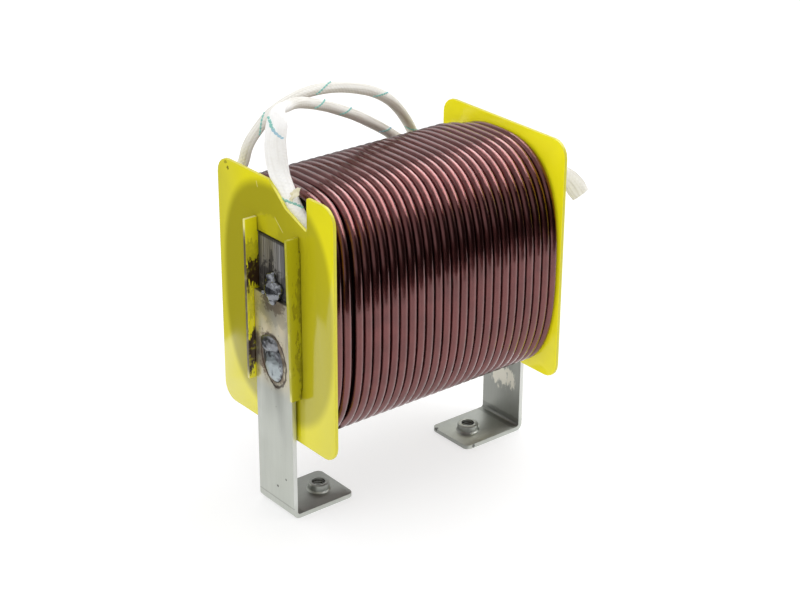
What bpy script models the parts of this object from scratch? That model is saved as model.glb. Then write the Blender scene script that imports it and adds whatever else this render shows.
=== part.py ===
"""Single-coil reactor: a laminated bar core in a glass-board bobbin, wound with
one layer-built coil of thick enamelled wire, on two bent strip feet.

Frame: X along the core, from the end with the slotted flange (front, -X) to the
plain one (rear, +X); Y across; Z up. The origin is on the surface that the feet
stand on, midway between the flanges. Lengths are in metres.
"""

import math

import bmesh
import bpy
import numpy as np
from mathutils import Vector

MM = 0.001

# Clearance between pieces that touch on the real reactor
SEAT_GAP = 0.3 * MM

# Flanges
FLANGE_WIDTH = 60.4 * MM
FLANGE_HEIGHT = 85.0 * MM
FLANGE_THICKNESS = 1.2 * MM
FLANGE_CORNER = 5.6 * MM
FLANGE_SPACING = 91.6 * MM
FLANGE_DROP = 28.0 * MM

# Lead slot in the top edge of the front flange, measured from the flange's middle
SLOT_LEFT = 2.4 * MM
SLOT_RIGHT = -16.9 * MM
SLOT_KNEE_Y = -5.8 * MM
SLOT_KNEE_DEPTH = 7.0 * MM
SLOT_DEPTH = 11.4 * MM
SLOT_ROUND = 1.6 * MM
SLOT_TAB_ROUND = 0.8 * MM

# Core of thin steel sheets stood on edge
CORE_WIDTH = 20.0 * MM
CORE_HEIGHT = 46.2 * MM
CORE_OFFSET_Y = -1.75 * MM
CORE_OFFSET_Z = 0.5 * MM
CORE_PROUD = 0.5 * MM
SHEET_THICKNESS = 0.5 * MM
SHEET_STEP = 0.05 * MM
SHEET_STEPS = (0, 3, 1, 4, 0, 2)

# Boards that line the core; the two side boards end in heads that hook the flanges
BOARD_THICKNESS = 1.2 * MM
HEAD_REACH = 4.9 * MM
HEAD_TAPER = 0.9 * MM
HEAD_ABOVE = 5.0 * MM
HEAD_BELOW = 3.7 * MM

# Winding
WIRE_DIAMETER = 3.2 * MM
WINDING_WIDTH = 59.0 * MM
WINDING_HEIGHT = 82.0 * MM
WINDING_OFFSET_Y = 0.2 * MM
WINDING_OFFSET_Z = -0.8 * MM
TURNS = 26
POINTS_PER_TURN = 22
ROUNDNESS = 2.7
BACK_SHOULDER_ROUNDNESS = 3.8
SHOULDER_FADE_START = 34.0 * MM
SHOULDER_FADE_END = 43.0 * MM
FRONT_UNDERSIDE_ROUNDNESS = 3.0
UNDERSIDE_SAG = 0.4 * MM
FRONT_BULGE = 0.5 * MM
TOP_FREE_SPACE = 4.3 * MM
TOP_END_PITCH = 3.25 * MM
TOP_END_SPREAD = 3.75 * MM
SIDE_END_PITCH = 3.45 * MM
SIDE_END_SPREAD = 4.5 * MM
TAIL_HEIGHT = 26.7 * MM
TAIL_FROM_FLANGE = 2.6 * MM
TAIL_SHARES = (0.35, 0.7, 1.0)
POCKET_BACK_Y = 0.5 * MM
POCKET_FRONT_Y = -19.0 * MM
POCKET_FLOOR = 23.0 * MM

# Angles round the winding, from the back (0) over the top (90) to the front (180)
START_ANGLE = 62.0
TOP_BEGINS = 62.0
TOP_ENDS = 110.0
SIDE_BEGINS = 175.0
SIDE_ENDS = 300.0
FULL_TURN = 360.0

# Strip feet
STRIP_WIDTH = 19.0 * MM
STRIP_THICKNESS = 1.5 * MM
STRIP_OFFSET_Y = 0.5 * MM
STRIP_TOP = 75.2 * MM
FRONT_FOOT_LENGTH = 24.2 * MM
REAR_FOOT_LENGTH = 25.3 * MM
BEND_INSIDE_RADIUS = 0.9 * MM
FOOT_CORNER = 2.0 * MM
HOLE_FROM_BEND_FACE = 16.8 * MM
HOLE_DIAMETER = 4.6 * MM
HOLE_MOUTH_DIAMETER = 6.2 * MM
HOLE_MOUTH_DEPTH = 0.9 * MM
COLLAR_DIAMETER = 7.2 * MM
COLLAR_HEIGHT = 2.6 * MM
COLLAR_ROUND = 0.5 * MM

# Welds on each strip, placed from the strip's middle and from its top end
PLUG_OFFSET_Y = 0.3 * MM
PLUG_BELOW_TOP = 21.3 * MM
PLUG_WIDTH = 9.6 * MM
PLUG_HEIGHT = 14.4 * MM
PLUG_LEAN = 15.0
PLUG_LIP = 0.7 * MM
PLUG_CROWN = 1.3 * MM
BEAD_OFFSET_Y = 0.5 * MM
BEAD_ABOVE_TOP = 2.3 * MM
BEAD_WIDTH = 9.0 * MM
BEAD_HEIGHT = 9.4 * MM
BEAD_REACH = 2.1 * MM

# Facets round each turned piece and hole, on fillets, bends, crowns and beads
ROUND_STEPS = 24
FILLET_STEPS = 5
INNER_BEND_STEPS = 6
OUTER_BEND_STEPS = 8
COLLAR_ROUND_STEPS = 2
CROWN_STEPS = 5
CROWN_EDGE_ANGLE = 75.0
BEAD_MERIDIANS = 20
BEAD_RINGS = 12

# Points closer than this are welded into one
MERGE_DISTANCE = 0.01 * MM

# Sleeved leads
SLEEVE_DIAMETER = 3.7 * MM
SLEEVE_POINT_SPACING = 8.5 * MM
ROUTE_SAMPLES = 24

# The start lead leaves the inner layers at the front flange's slot, rises, turns
# over behind the finish lead and runs down behind the coil past the rear flange
START_ROUTE_MM = (
    (-43.4, -14.4, 97.2),
    (-43.4, -9.6, 101.4),
    (-43.4, -4.4, 106.2),
    (-43.4, -0.2, 111.4),
    (-43.9, 1.5, 116.4),
    (-45.5, 0.4, 124.0),
    (-46.2, -1.6, 131.4),
    (-44.2, 0.6, 134.6),
    (-38.7, 4.0, 134.0),
    (-32.1, 8.0, 132.7),
    (-24.6, 12.0, 130.0),
    (-15.1, 16.0, 126.0),
    (-6.6, 19.5, 121.8),
    (1.7, 22.5, 117.5),
    (10.6, 26.0, 112.2),
    (20.1, 30.0, 106.2),
    (31.0, 33.4, 98.6),
    (47.0, 34.5, 89.4),
    (64.0, 32.4, 83.2),
    (80.0, 28.4, 79.8),
    (92.0, 24.4, 77.0),
    (98.6, 21.4, 72.6),
    (101.6, 18.0, 66.6),
)

# The finish lead rises behind the front flange, arches over the coil and drops
# behind it
FINISH_ROUTE_MM = (
    (-43.2, 28.1, 97.6),
    (-43.2, 28.1, 100.2),
    (-42.0, 28.2, 104.0),
    (-38.7, 28.0, 108.8),
    (-36.9, 28.0, 113.6),
    (-33.8, 28.0, 117.6),
    (-27.8, 27.0, 123.4),
    (-17.5, 26.2, 127.3),
    (-9.6, 26.0, 127.8),
    (-1.6, 26.0, 126.8),
    (6.9, 26.5, 124.3),
    (13.5, 27.0, 121.6),
    (20.2, 28.5, 117.5),
    (26.5, 31.0, 112.2),
    (32.0, 34.0, 106.8),
    (37.1, 37.0, 101.0),
    (42.6, 40.0, 93.0),
    (46.6, 41.8, 82.6),
    (48.6, 42.4, 71.0),
)

# Worked out from the sizes above
INNER_FACE_X = FLANGE_SPACING / 2
OUTER_FACE_X = INNER_FACE_X + FLANGE_THICKNESS
MIDDLE_Z = FLANGE_DROP + FLANGE_HEIGHT / 2
CORE_Z = MIDDLE_Z + CORE_OFFSET_Z
CORE_END_X = OUTER_FACE_X + CORE_PROUD
LINED_HALF_WIDTH = CORE_WIDTH / 2 + SEAT_GAP + BOARD_THICKNESS
LINED_HALF_HEIGHT = CORE_HEIGHT / 2 + SEAT_GAP + BOARD_THICKNESS
WINDING_Z = MIDDLE_Z + WINDING_OFFSET_Z
WIRE_RADIUS = WIRE_DIAMETER / 2
COIL_HALF_WIDTH = WINDING_WIDTH / 2 - WIRE_RADIUS
COIL_HALF_HEIGHT = WINDING_HEIGHT / 2 - WIRE_RADIUS
END_TURN_X = INNER_FACE_X - SEAT_GAP - WIRE_RADIUS
STRIP_INNER_X = CORE_END_X + SEAT_GAP
STRIP_OUTER_X = STRIP_INNER_X + STRIP_THICKNESS
STRIP_Y = CORE_OFFSET_Y + STRIP_OFFSET_Y
BEND_OUTSIDE_RADIUS = BEND_INSIDE_RADIUS + STRIP_THICKNESS

YELLOW_BOARD = ("yellow_glass_board", (0.72, 0.66, 0.02, 1.0), 0.25, 0.0)
ENAMELLED_WIRE = ("brown_enamelled_wire", (0.085, 0.022, 0.02, 1.0), 0.3, 0.25)
SHEET_STEEL = ("core_sheet_steel", (0.17, 0.17, 0.18, 1.0), 0.45, 0.9)
STRIP_STEEL = ("strip_steel", (0.42, 0.41, 0.39, 1.0), 0.4, 1.0)
WELD_METAL = ("weld_metal", (0.3, 0.31, 0.33, 1.0), 0.35, 1.0)
SLEEVING = ("white_glass_sleeving", (0.82, 0.81, 0.76, 1.0), 0.7, 0.0)


def clear_scene():
    for item in list(bpy.data.objects):
        bpy.data.objects.remove(item, do_unlink=True)


def new_collection(name):
    collection = bpy.data.collections.new(name)
    bpy.context.scene.collection.children.link(collection)
    return collection


def new_material(settings):
    name, colour, roughness, metallic = settings
    material = bpy.data.materials.get(name)
    if material is None:
        material = bpy.data.materials.new(name)
        material.use_nodes = True
        shader = material.node_tree.nodes["Principled BSDF"]
        shader.inputs["Base Color"].default_value = colour
        shader.inputs["Roughness"].default_value = roughness
        shader.inputs["Metallic"].default_value = metallic
        material.diffuse_color = colour
    return material


def link_piece(piece, collection, settings):
    collection.objects.link(piece)
    piece.data.materials.append(new_material(settings))
    return piece


def link_cutter(cutter, collection):
    collection.objects.link(cutter)
    cutter.hide_render = True
    cutter.display_type = "WIRE"
    return cutter


def arc(centre, radius, start, end, steps):
    """Points on an arc, both ends included; the angles are in degrees."""
    angles = np.radians(np.linspace(start, end, steps + 1))
    return [(centre[0] + radius * math.cos(a), centre[1] + radius * math.sin(a)) for a in angles]


def filleted(corners):
    """A closed outline from (u, v, radius) corners, each rounded by an arc."""
    outline = []
    for index, (u, v, radius) in enumerate(corners):
        corner = Vector((u, v))
        if radius == 0:
            outline.append((u, v))
            continue
        before = (Vector(corners[index - 1][:2]) - corner).normalized()
        after = (Vector(corners[(index + 1) % len(corners)][:2]) - corner).normalized()
        half_angle = before.angle(after) / 2
        reach = radius / math.tan(half_angle)
        centre = corner + (before + after).normalized() * (radius / math.sin(half_angle))
        first = corner + before * reach - centre
        last = corner + after * reach - centre
        start = math.degrees(math.atan2(first.y, first.x))
        sweep = math.degrees(math.atan2(last.y, last.x)) - start
        sweep = (sweep + 180.0) % 360.0 - 180.0
        outline += arc(centre, radius, start, start + sweep, FILLET_STEPS)
    return outline


def box_outline(half_u, half_v, radius=0.0, centre_u=0.0, centre_v=0.0):
    corners = [
        (centre_u - half_u, centre_v - half_v, radius),
        (centre_u + half_u, centre_v - half_v, radius),
        (centre_u + half_u, centre_v + half_v, radius),
        (centre_u - half_u, centre_v + half_v, radius),
    ]
    return filleted(corners)


def plate_curve(name, outlines, thickness):
    """A flat outline with its holes, thickened evenly to both sides."""
    curve = bpy.data.curves.new(name, "CURVE")
    curve.dimensions = "2D"
    curve.fill_mode = "BOTH"
    curve.extrude = thickness / 2
    for outline in outlines:
        spline = curve.splines.new("POLY")
        spline.points.add(len(outline) - 1)
        for point, (u, v) in zip(spline.points, outline):
            point.co = (u, v, 0.0, 1.0)
        spline.use_cyclic_u = True
    return bpy.data.objects.new(name, curve)


def face_along_x(piece, x):
    """Stand a plate in the YZ plane, its outline's u along Y and v along Z."""
    piece.rotation_euler = (math.radians(90), 0.0, math.radians(90))
    piece.location.x = x


def face_along_y(piece, y):
    """Stand a plate in the XZ plane, its outline's u along X and v along Z."""
    piece.rotation_euler = (math.radians(90), 0.0, 0.0)
    piece.location.y = y


def as_mesh(piece):
    """Turn a curve object into a welded mesh object in its own world place."""
    bpy.context.scene.collection.objects.link(piece)
    bpy.context.view_layer.update()
    graph = bpy.context.evaluated_depsgraph_get()
    mesh = bpy.data.meshes.new_from_object(piece.evaluated_get(graph))
    shape = bmesh.new()
    shape.from_mesh(mesh)
    bmesh.ops.remove_doubles(shape, verts=shape.verts, dist=MERGE_DISTANCE)
    bmesh.ops.recalc_face_normals(shape, faces=shape.faces)
    shape.to_mesh(mesh)
    shape.free()
    name = piece.name
    place = piece.matrix_world.copy()
    bpy.data.objects.remove(piece, do_unlink=True)
    result = bpy.data.objects.new(name, mesh)
    result.matrix_world = place
    return result


def add_boolean(piece, cutter, operation="DIFFERENCE"):
    modifier = piece.modifiers.new(cutter.name, "BOOLEAN")
    modifier.operation = operation
    modifier.object = cutter
    modifier.solver = "EXACT"


def box_cutter(name, low, high, collection):
    mesh = bpy.data.meshes.new(name)
    shape = bmesh.new()
    bmesh.ops.create_cube(shape, size=1.0)
    size = Vector(high) - Vector(low)
    bmesh.ops.scale(shape, vec=size, verts=shape.verts)
    bmesh.ops.translate(shape, vec=(Vector(low) + Vector(high)) / 2, verts=shape.verts)
    shape.to_mesh(mesh)
    shape.free()
    return link_cutter(bpy.data.objects.new(name, mesh), collection)


def turned(name, profile):
    """A body turned about its local Z axis from (radius, height) points, top first."""
    mesh = bpy.data.meshes.new(name)
    shape = bmesh.new()
    points = [shape.verts.new((radius, 0.0, height)) for radius, height in profile]
    for first, second in zip(points, points[1:]):
        shape.edges.new((first, second))
    shape.to_mesh(mesh)
    shape.free()
    piece = bpy.data.objects.new(name, mesh)
    screw = piece.modifiers.new("turn", "SCREW")
    screw.angle = math.radians(FULL_TURN)
    screw.steps = ROUND_STEPS
    screw.render_steps = ROUND_STEPS
    screw.use_merge_vertices = True
    screw.merge_threshold = MERGE_DISTANCE
    screw.use_smooth_shade = True
    return piece


def smooth_step(value, low, high):
    share = min(max((value - low) / (high - low), 0.0), 1.0)
    return share * share * (3.0 - 2.0 * share)


def smooth_route(route_mm, spacing):
    """Points at even spacing on a smooth curve through the route's own points."""
    knots = np.array(route_mm) * MM
    ends = np.vstack([2 * knots[0] - knots[1], knots, 2 * knots[-1] - knots[-2]])
    dense = []
    for before, start, end, after in zip(ends, ends[1:], ends[2:], ends[3:]):
        for share in np.linspace(0.0, 1.0, ROUTE_SAMPLES, endpoint=False):
            ease_in = (end - before) / 2
            ease_out = (after - start) / 2
            squared = share * share
            cubed = squared * share
            point = (2 * cubed - 3 * squared + 1) * start + (cubed - 2 * squared + share) * ease_in
            point = point + (3 * squared - 2 * cubed) * end + (cubed - squared) * ease_out
            dense.append(point)
    dense = np.array(dense + [knots[-1]])
    travelled = np.concatenate([[0.0], np.cumsum(np.linalg.norm(np.diff(dense, axis=0), axis=1))])
    count = max(int(round(travelled[-1] / spacing)), 2)
    wanted = np.linspace(0.0, travelled[-1], count + 1)
    return np.stack([np.interp(wanted, travelled, dense[:, axis]) for axis in range(3)], axis=1)


def wire_curve(name, points, diameter):
    """A round wire or sleeve along a polyline, closed at both ends."""
    curve = bpy.data.curves.new(name, "CURVE")
    curve.dimensions = "3D"
    curve.bevel_depth = diameter / 2
    curve.bevel_resolution = 2
    curve.use_fill_caps = True
    spline = curve.splines.new("POLY")
    spline.points.add(len(points) - 1)
    for point, place in zip(spline.points, points):
        point.co = (*place, 1.0)
    spline.use_smooth = True
    return bpy.data.objects.new(name, curve)


def build_core(parts):
    """Sheets stood on edge across Y, whose ends don't quite line up."""
    sheets = int(round(CORE_WIDTH / SHEET_THICKNESS))
    front = []
    rear = []
    for sheet in range(sheets):
        low = sheet * SHEET_THICKNESS
        front_end = -CORE_END_X + SHEET_STEP * SHEET_STEPS[sheet % len(SHEET_STEPS)]
        rear_end = CORE_END_X - SHEET_STEP * SHEET_STEPS[(sheet + 2) % len(SHEET_STEPS)]
        front += [(front_end, low), (front_end, low + SHEET_THICKNESS)]
        rear += [(rear_end, low), (rear_end, low + SHEET_THICKNESS)]
    core = plate_curve("core_stack", [rear + front[::-1]], CORE_HEIGHT)
    core.location = (0.0, CORE_OFFSET_Y - CORE_WIDTH / 2, CORE_Z)
    link_piece(core, parts, SHEET_STEEL)


def flange_window():
    return box_outline(
        LINED_HALF_WIDTH + SEAT_GAP, CORE_HEIGHT / 2 + SEAT_GAP, 0.0, CORE_OFFSET_Y, CORE_OFFSET_Z
    )


def build_rear_flange(parts):
    outer = box_outline(FLANGE_WIDTH / 2, FLANGE_HEIGHT / 2, FLANGE_CORNER)
    flange = plate_curve("rear_flange", [outer, flange_window()], FLANGE_THICKNESS)
    face_along_x(flange, INNER_FACE_X + FLANGE_THICKNESS / 2)
    flange.location.z = MIDDLE_Z
    link_piece(flange, parts, YELLOW_BOARD)


def build_front_flange(parts):
    """The slot is a wide funnel with one upright side, cut for the start lead."""
    side = FLANGE_WIDTH / 2
    top = FLANGE_HEIGHT / 2
    corners = [
        (-side, -top, FLANGE_CORNER),
        (side, -top, FLANGE_CORNER),
        (side, top, FLANGE_CORNER),
        (SLOT_LEFT, top, SLOT_ROUND),
        (SLOT_KNEE_Y, top - SLOT_KNEE_DEPTH, SLOT_ROUND),
        (SLOT_RIGHT, top - SLOT_DEPTH, SLOT_TAB_ROUND),
        (SLOT_RIGHT, top, SLOT_TAB_ROUND),
        (-side, top, FLANGE_CORNER),
    ]
    flange = plate_curve("front_flange", [filleted(corners), flange_window()], FLANGE_THICKNESS)
    face_along_x(flange, -INNER_FACE_X - FLANGE_THICKNESS / 2)
    flange.location.z = MIDDLE_Z
    link_piece(flange, parts, YELLOW_BOARD)


def build_side_boards(parts):
    """I-shaped boards: the web runs beside the core, the heads hook over the flanges."""
    web = CORE_HEIGHT / 2
    throat = OUTER_FACE_X + SEAT_GAP
    reach = OUTER_FACE_X + HEAD_REACH
    up = web + HEAD_ABOVE
    down = -web - HEAD_BELOW
    for name, side, taper in (("left_side_board", 1, 0.0), ("right_side_board", -1, HEAD_TAPER)):
        outline = [
            (-throat, web), (-throat, up), (-reach, up), (taper - reach, down),
            (-throat, down), (-throat, -web), (throat, -web), (throat, down),
            (reach, down), (reach, up), (throat, up), (throat, web),
        ]
        board = plate_curve(name, [outline], BOARD_THICKNESS)
        offset = CORE_WIDTH / 2 + SEAT_GAP + BOARD_THICKNESS / 2
        face_along_y(board, CORE_OFFSET_Y + side * offset)
        board.location.z = CORE_Z
        link_piece(board, parts, YELLOW_BOARD)


def build_lining_boards(parts):
    """Boards over and under the core, between the flanges."""
    outline = box_outline(INNER_FACE_X - SEAT_GAP, LINED_HALF_WIDTH)
    height = CORE_HEIGHT / 2 + SEAT_GAP + BOARD_THICKNESS / 2
    for name, side in (("top_board", 1), ("bottom_board", -1)):
        board = plate_curve(name, [outline], BOARD_THICKNESS)
        board.location = (0.0, CORE_OFFSET_Y, CORE_Z + side * height)
        link_piece(board, parts, YELLOW_BOARD)


def winding_point(angle, half_width, half_height, roundness):
    """A point on the winding's rounded section, from its own middle."""
    cosine = math.cos(math.radians(angle))
    sine = math.sin(math.radians(angle))
    power = 2.0 / roundness
    across = half_width * math.copysign(abs(cosine) ** power, cosine)
    upward = half_height * math.copysign(abs(sine) ** power, sine)
    return across, upward


def outer_layer_point(angle, x):
    """A point on the outer layer's section, whose shape changes along X."""
    quarter = int(angle // (FULL_TURN / 4))
    across = COIL_HALF_WIDTH
    upward = COIL_HALF_HEIGHT
    roundness = ROUNDNESS
    if quarter == 0:
        fade = smooth_step(x, SHOULDER_FADE_START, SHOULDER_FADE_END)
        roundness = BACK_SHOULDER_ROUNDNESS + (ROUNDNESS - BACK_SHOULDER_ROUNDNESS) * fade
    if quarter in (1, 2):
        across += FRONT_BULGE * smooth_step(x, -END_TURN_X, END_TURN_X)
    if quarter in (2, 3):
        upward += UNDERSIDE_SAG
    if quarter == 2:
        roundness = FRONT_UNDERSIDE_ROUNDNESS
    return winding_point(angle, across, upward, roundness)


def turn_places(space, end_pitch, end_spread):
    """Each turn's place along X, rear to front: even, but for the last two."""
    last = END_TURN_X - space
    places = [last, last - end_pitch, last - end_pitch - end_spread]
    even = TURNS - len(places)
    pitch = (END_TURN_X + places[-1]) / even
    return [END_TURN_X - pitch * turn for turn in range(even)] + [-place for place in places[::-1]]


def build_inner_winding(parts, cutters):
    """The layers under the outer one, with the pocket where the start lead leaves."""
    across = COIL_HALF_WIDTH - WIRE_RADIUS - SEAT_GAP
    upward = COIL_HALF_HEIGHT - WIRE_RADIUS - SEAT_GAP
    outline = []
    for step in range(POINTS_PER_TURN * 2):
        angle = FULL_TURN * step / (POINTS_PER_TURN * 2)
        y, z = winding_point(angle, across, upward, ROUNDNESS)
        outline.append((y + WINDING_OFFSET_Y, z + WINDING_OFFSET_Z))
    tunnel = box_outline(
        LINED_HALF_WIDTH + SEAT_GAP, LINED_HALF_HEIGHT + SEAT_GAP, 0.0, CORE_OFFSET_Y, CORE_OFFSET_Z
    )
    plate = plate_curve("inner_winding", [outline, tunnel], FLANGE_SPACING - 2 * SEAT_GAP)
    face_along_x(plate, 0.0)
    plate.location.z = MIDDLE_Z
    winding = as_mesh(plate)
    depth = SLEEVE_DIAMETER + 3 * SEAT_GAP
    low = (-INNER_FACE_X - SEAT_GAP, POCKET_FRONT_Y, MIDDLE_Z + POCKET_FLOOR)
    high = (-INNER_FACE_X + depth, POCKET_BACK_Y, MIDDLE_Z + FLANGE_HEIGHT / 2)
    add_boolean(winding, box_cutter("lead_pocket", low, high, cutters))
    link_piece(winding, parts, ENAMELLED_WIRE)


def build_outer_winding(parts):
    """The outer layer: one wire, pressed together on top and spread on the front.

    Each turn steps over to the next place at the back. The last one leaves the
    layer there and stands up beside the front flange as the finish lead's wire.
    """
    top = turn_places(TOP_FREE_SPACE, TOP_END_PITCH, TOP_END_SPREAD)
    side = turn_places(0.0, SIDE_END_PITCH, SIDE_END_SPREAD)
    end = TURNS * FULL_TURN
    steps = round((end - START_ANGLE) * POINTS_PER_TURN / FULL_TURN)
    points = []
    for total in np.linspace(START_ANGLE, end, steps + 1):
        turn = min(int(total // FULL_TURN), TURNS - 1)
        angle = total - turn * FULL_TURN
        if angle < TOP_BEGINS:
            before = side[max(turn - 1, 0)]
            arrive = smooth_step(angle + FULL_TURN, SIDE_ENDS, FULL_TURN + TOP_BEGINS)
            x = before + (top[turn] - before) * arrive
        elif angle <= SIDE_ENDS or turn == TURNS - 1:
            x = top[turn] + (side[turn] - top[turn]) * smooth_step(angle, TOP_ENDS, SIDE_BEGINS)
        else:
            arrive = smooth_step(angle, SIDE_ENDS, FULL_TURN + TOP_BEGINS)
            x = side[turn] + (top[turn + 1] - side[turn]) * arrive
        y, z = outer_layer_point(angle, x)
        points.append((x, y + WINDING_OFFSET_Y, z + WINDING_Z))
    leave = Vector(points[-1])
    tail = Vector((TAIL_FROM_FLANGE - INNER_FACE_X, leave.y, MIDDLE_Z + TAIL_HEIGHT))
    points += [tuple(leave.lerp(tail, share)) for share in TAIL_SHARES]
    winding = wire_curve("outer_winding", points, WIRE_DIAMETER)
    link_piece(winding, parts, ENAMELLED_WIRE)


def strip_profile(foot_length):
    """The bent strip seen along Y: upright at -X, foot turned in under the coil."""
    outer = BEND_OUTSIDE_RADIUS
    centre = (-STRIP_OUTER_X + outer, outer)
    inside = arc(centre, BEND_INSIDE_RADIUS, 270, 180, INNER_BEND_STEPS)
    outside = arc(centre, outer, 180, 270, OUTER_BEND_STEPS)
    foot_end = -STRIP_OUTER_X + foot_length
    profile = [(foot_end, 0.0), (foot_end, STRIP_THICKNESS)]
    profile += inside
    profile += [(-STRIP_INNER_X, STRIP_TOP), (-STRIP_OUTER_X, STRIP_TOP)]
    profile += outside
    return profile


def round_foot_corners(piece, foot_length):
    """Round the foot's two free corners, the edges that stand at its end."""
    shape = bmesh.new()
    shape.from_mesh(piece.data)
    foot_end = -STRIP_OUTER_X + foot_length
    picked = []
    for edge in shape.edges:
        ends = [piece.matrix_world @ vert.co for vert in edge.verts]
        at_end = all(abs(end.x - foot_end) < SEAT_GAP for end in ends)
        upright = abs(ends[0].z - ends[1].z) > STRIP_THICKNESS / 2
        if at_end and upright:
            picked.append(edge)
    bmesh.ops.bevel(
        shape, geom=picked, offset=FOOT_CORNER, offset_type="OFFSET", segments=FILLET_STEPS,
        profile=0.5, affect="EDGES", clamp_overlap=True
    )
    shape.to_mesh(piece.data)
    shape.free()


def stand_in_strip(piece, margin):
    """Turn a round piece made upright to face out of the strip as a leaning oval."""
    piece.rotation_mode = "ZYX"
    piece.rotation_euler = (math.radians(-PLUG_LEAN), math.radians(-90), 0.0)
    piece.location = (0.0, PLUG_OFFSET_Y, STRIP_TOP - PLUG_BELOW_TOP)
    piece.scale = (PLUG_HEIGHT / 2 + margin, PLUG_WIDTH / 2 + margin, 1.0)


def build_strip(name, foot_length, parts, cutters, holder):
    """One foot: bent strip, drawn collar with its tapped hole, and the plug weld's hole."""
    plate = plate_curve(name, [strip_profile(foot_length)], STRIP_WIDTH)
    face_along_y(plate, 0.0)
    strip = as_mesh(plate)
    round_foot_corners(strip, foot_length)
    hole_x = -STRIP_OUTER_X + HOLE_FROM_BEND_FACE
    collar_radius = COLLAR_DIAMETER / 2
    rim = STRIP_THICKNESS + COLLAR_HEIGHT
    root = STRIP_THICKNESS / 2
    collar_profile = [(0.0, rim)]
    rim_centre = (collar_radius - COLLAR_ROUND, rim - COLLAR_ROUND)
    collar_profile += arc(rim_centre, COLLAR_ROUND, 90, 0, COLLAR_ROUND_STEPS)
    collar_profile += [
        (collar_radius, STRIP_THICKNESS + COLLAR_ROUND),
        (collar_radius + COLLAR_ROUND, STRIP_THICKNESS),
        (collar_radius + COLLAR_ROUND, root),
        (0.0, root),
    ]
    collar = turned(name + "_collar", collar_profile)
    hole_radius = HOLE_DIAMETER / 2
    mouth_radius = HOLE_MOUTH_DIAMETER / 2
    hole_profile = [
        (0.0, rim + STRIP_THICKNESS), (hole_radius, rim + STRIP_THICKNESS),
        (hole_radius, HOLE_MOUTH_DEPTH), (mouth_radius, 0.0),
        (mouth_radius, -STRIP_THICKNESS), (0.0, -STRIP_THICKNESS),
    ]
    hole = turned(name + "_hole", hole_profile)
    plug_profile = [
        (0.0, STRIP_OUTER_X + SEAT_GAP), (1.0, STRIP_OUTER_X + SEAT_GAP),
        (1.0, STRIP_INNER_X - SEAT_GAP), (0.0, STRIP_INNER_X - SEAT_GAP),
    ]
    plug_hole = turned(name + "_plug_hole", plug_profile)
    for cutter in (collar, hole):
        cutter.location.x = hole_x
    hole.rotation_euler.z = math.radians(180 / ROUND_STEPS)
    stand_in_strip(plug_hole, SEAT_GAP)
    for cutter, operation in ((collar, "UNION"), (hole, "DIFFERENCE"), (plug_hole, "DIFFERENCE")):
        link_cutter(cutter, cutters)
        cutter.parent = holder
        add_boolean(strip, cutter, operation)
    strip.parent = holder
    link_piece(strip, parts, STRIP_STEEL)


def build_plug_weld(name, parts, holder):
    """Weld metal that fills the strip's oval hole, with a lip and a low crown."""
    lip = 1.0 + 2 * PLUG_LIP / PLUG_HEIGHT
    face = STRIP_OUTER_X + SEAT_GAP
    angles = np.radians(np.linspace(0.0, CROWN_EDGE_ANGLE, CROWN_STEPS + 1))
    crown = [(lip * math.sin(a), face + PLUG_CROWN * math.cos(a)) for a in angles]
    profile = crown + [(lip, face), (1.0, face), (1.0, STRIP_INNER_X), (0.0, STRIP_INNER_X)]
    plug = turned(name, profile)
    stand_in_strip(plug, 0.0)
    plug.parent = holder
    link_piece(plug, parts, WELD_METAL)


def build_top_weld(name, parts, cutters, holder):
    """A bead over the strip's top end, cut to sit on the strip and the core's end."""
    mesh = bpy.data.meshes.new(name)
    shape = bmesh.new()
    bmesh.ops.create_uvsphere(
        shape, u_segments=BEAD_MERIDIANS, v_segments=BEAD_RINGS, radius=1.0
    )
    bmesh.ops.scale(shape, vec=(BEAD_REACH, BEAD_WIDTH / 2, BEAD_HEIGHT / 2), verts=shape.verts)
    place = Vector((-STRIP_INNER_X - STRIP_THICKNESS / 2, BEAD_OFFSET_Y, STRIP_TOP + BEAD_ABOVE_TOP))
    bmesh.ops.translate(shape, vec=place, verts=shape.verts)
    shape.to_mesh(mesh)
    shape.free()
    mesh.shade_smooth()
    bead = bpy.data.objects.new(name, mesh)
    far = 2 * STRIP_WIDTH
    strip_low = (-STRIP_OUTER_X - SEAT_GAP, -far, 0.0)
    strip_high = (0.0, far, STRIP_TOP + SEAT_GAP)
    core_low = (-STRIP_INNER_X, -far, STRIP_TOP - SEAT_GAP)
    core_high = (0.0, far, STRIP_TOP + far)
    for cutter in (
        box_cutter(name + "_strip_cut", strip_low, strip_high, cutters),
        box_cutter(name + "_core_cut", core_low, core_high, cutters),
    ):
        cutter.parent = holder
        add_boolean(bead, cutter)
    bead.parent = holder
    link_piece(bead, parts, WELD_METAL)


def build_end(prefix, turn, foot_length, parts, cutters):
    """A foot and its two welds; the rear set stands turned half round."""
    holder = bpy.data.objects.new(prefix + "_end", None)
    holder.location = (0.0, STRIP_Y, 0.0)
    holder.rotation_euler = (0.0, 0.0, math.radians(turn))
    parts.objects.link(holder)
    build_strip(prefix + "_bracket", foot_length, parts, cutters, holder)
    build_plug_weld(prefix + "_plug_weld", parts, holder)
    build_top_weld(prefix + "_top_weld", parts, cutters, holder)


def build_leads(parts):
    for name, route in (("start_lead", START_ROUTE_MM), ("finish_lead", FINISH_ROUTE_MM)):
        points = smooth_route(route, SLEEVE_POINT_SPACING)
        sleeve = wire_curve(name, points, SLEEVE_DIAMETER)
        link_piece(sleeve, parts, SLEEVING)


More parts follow.
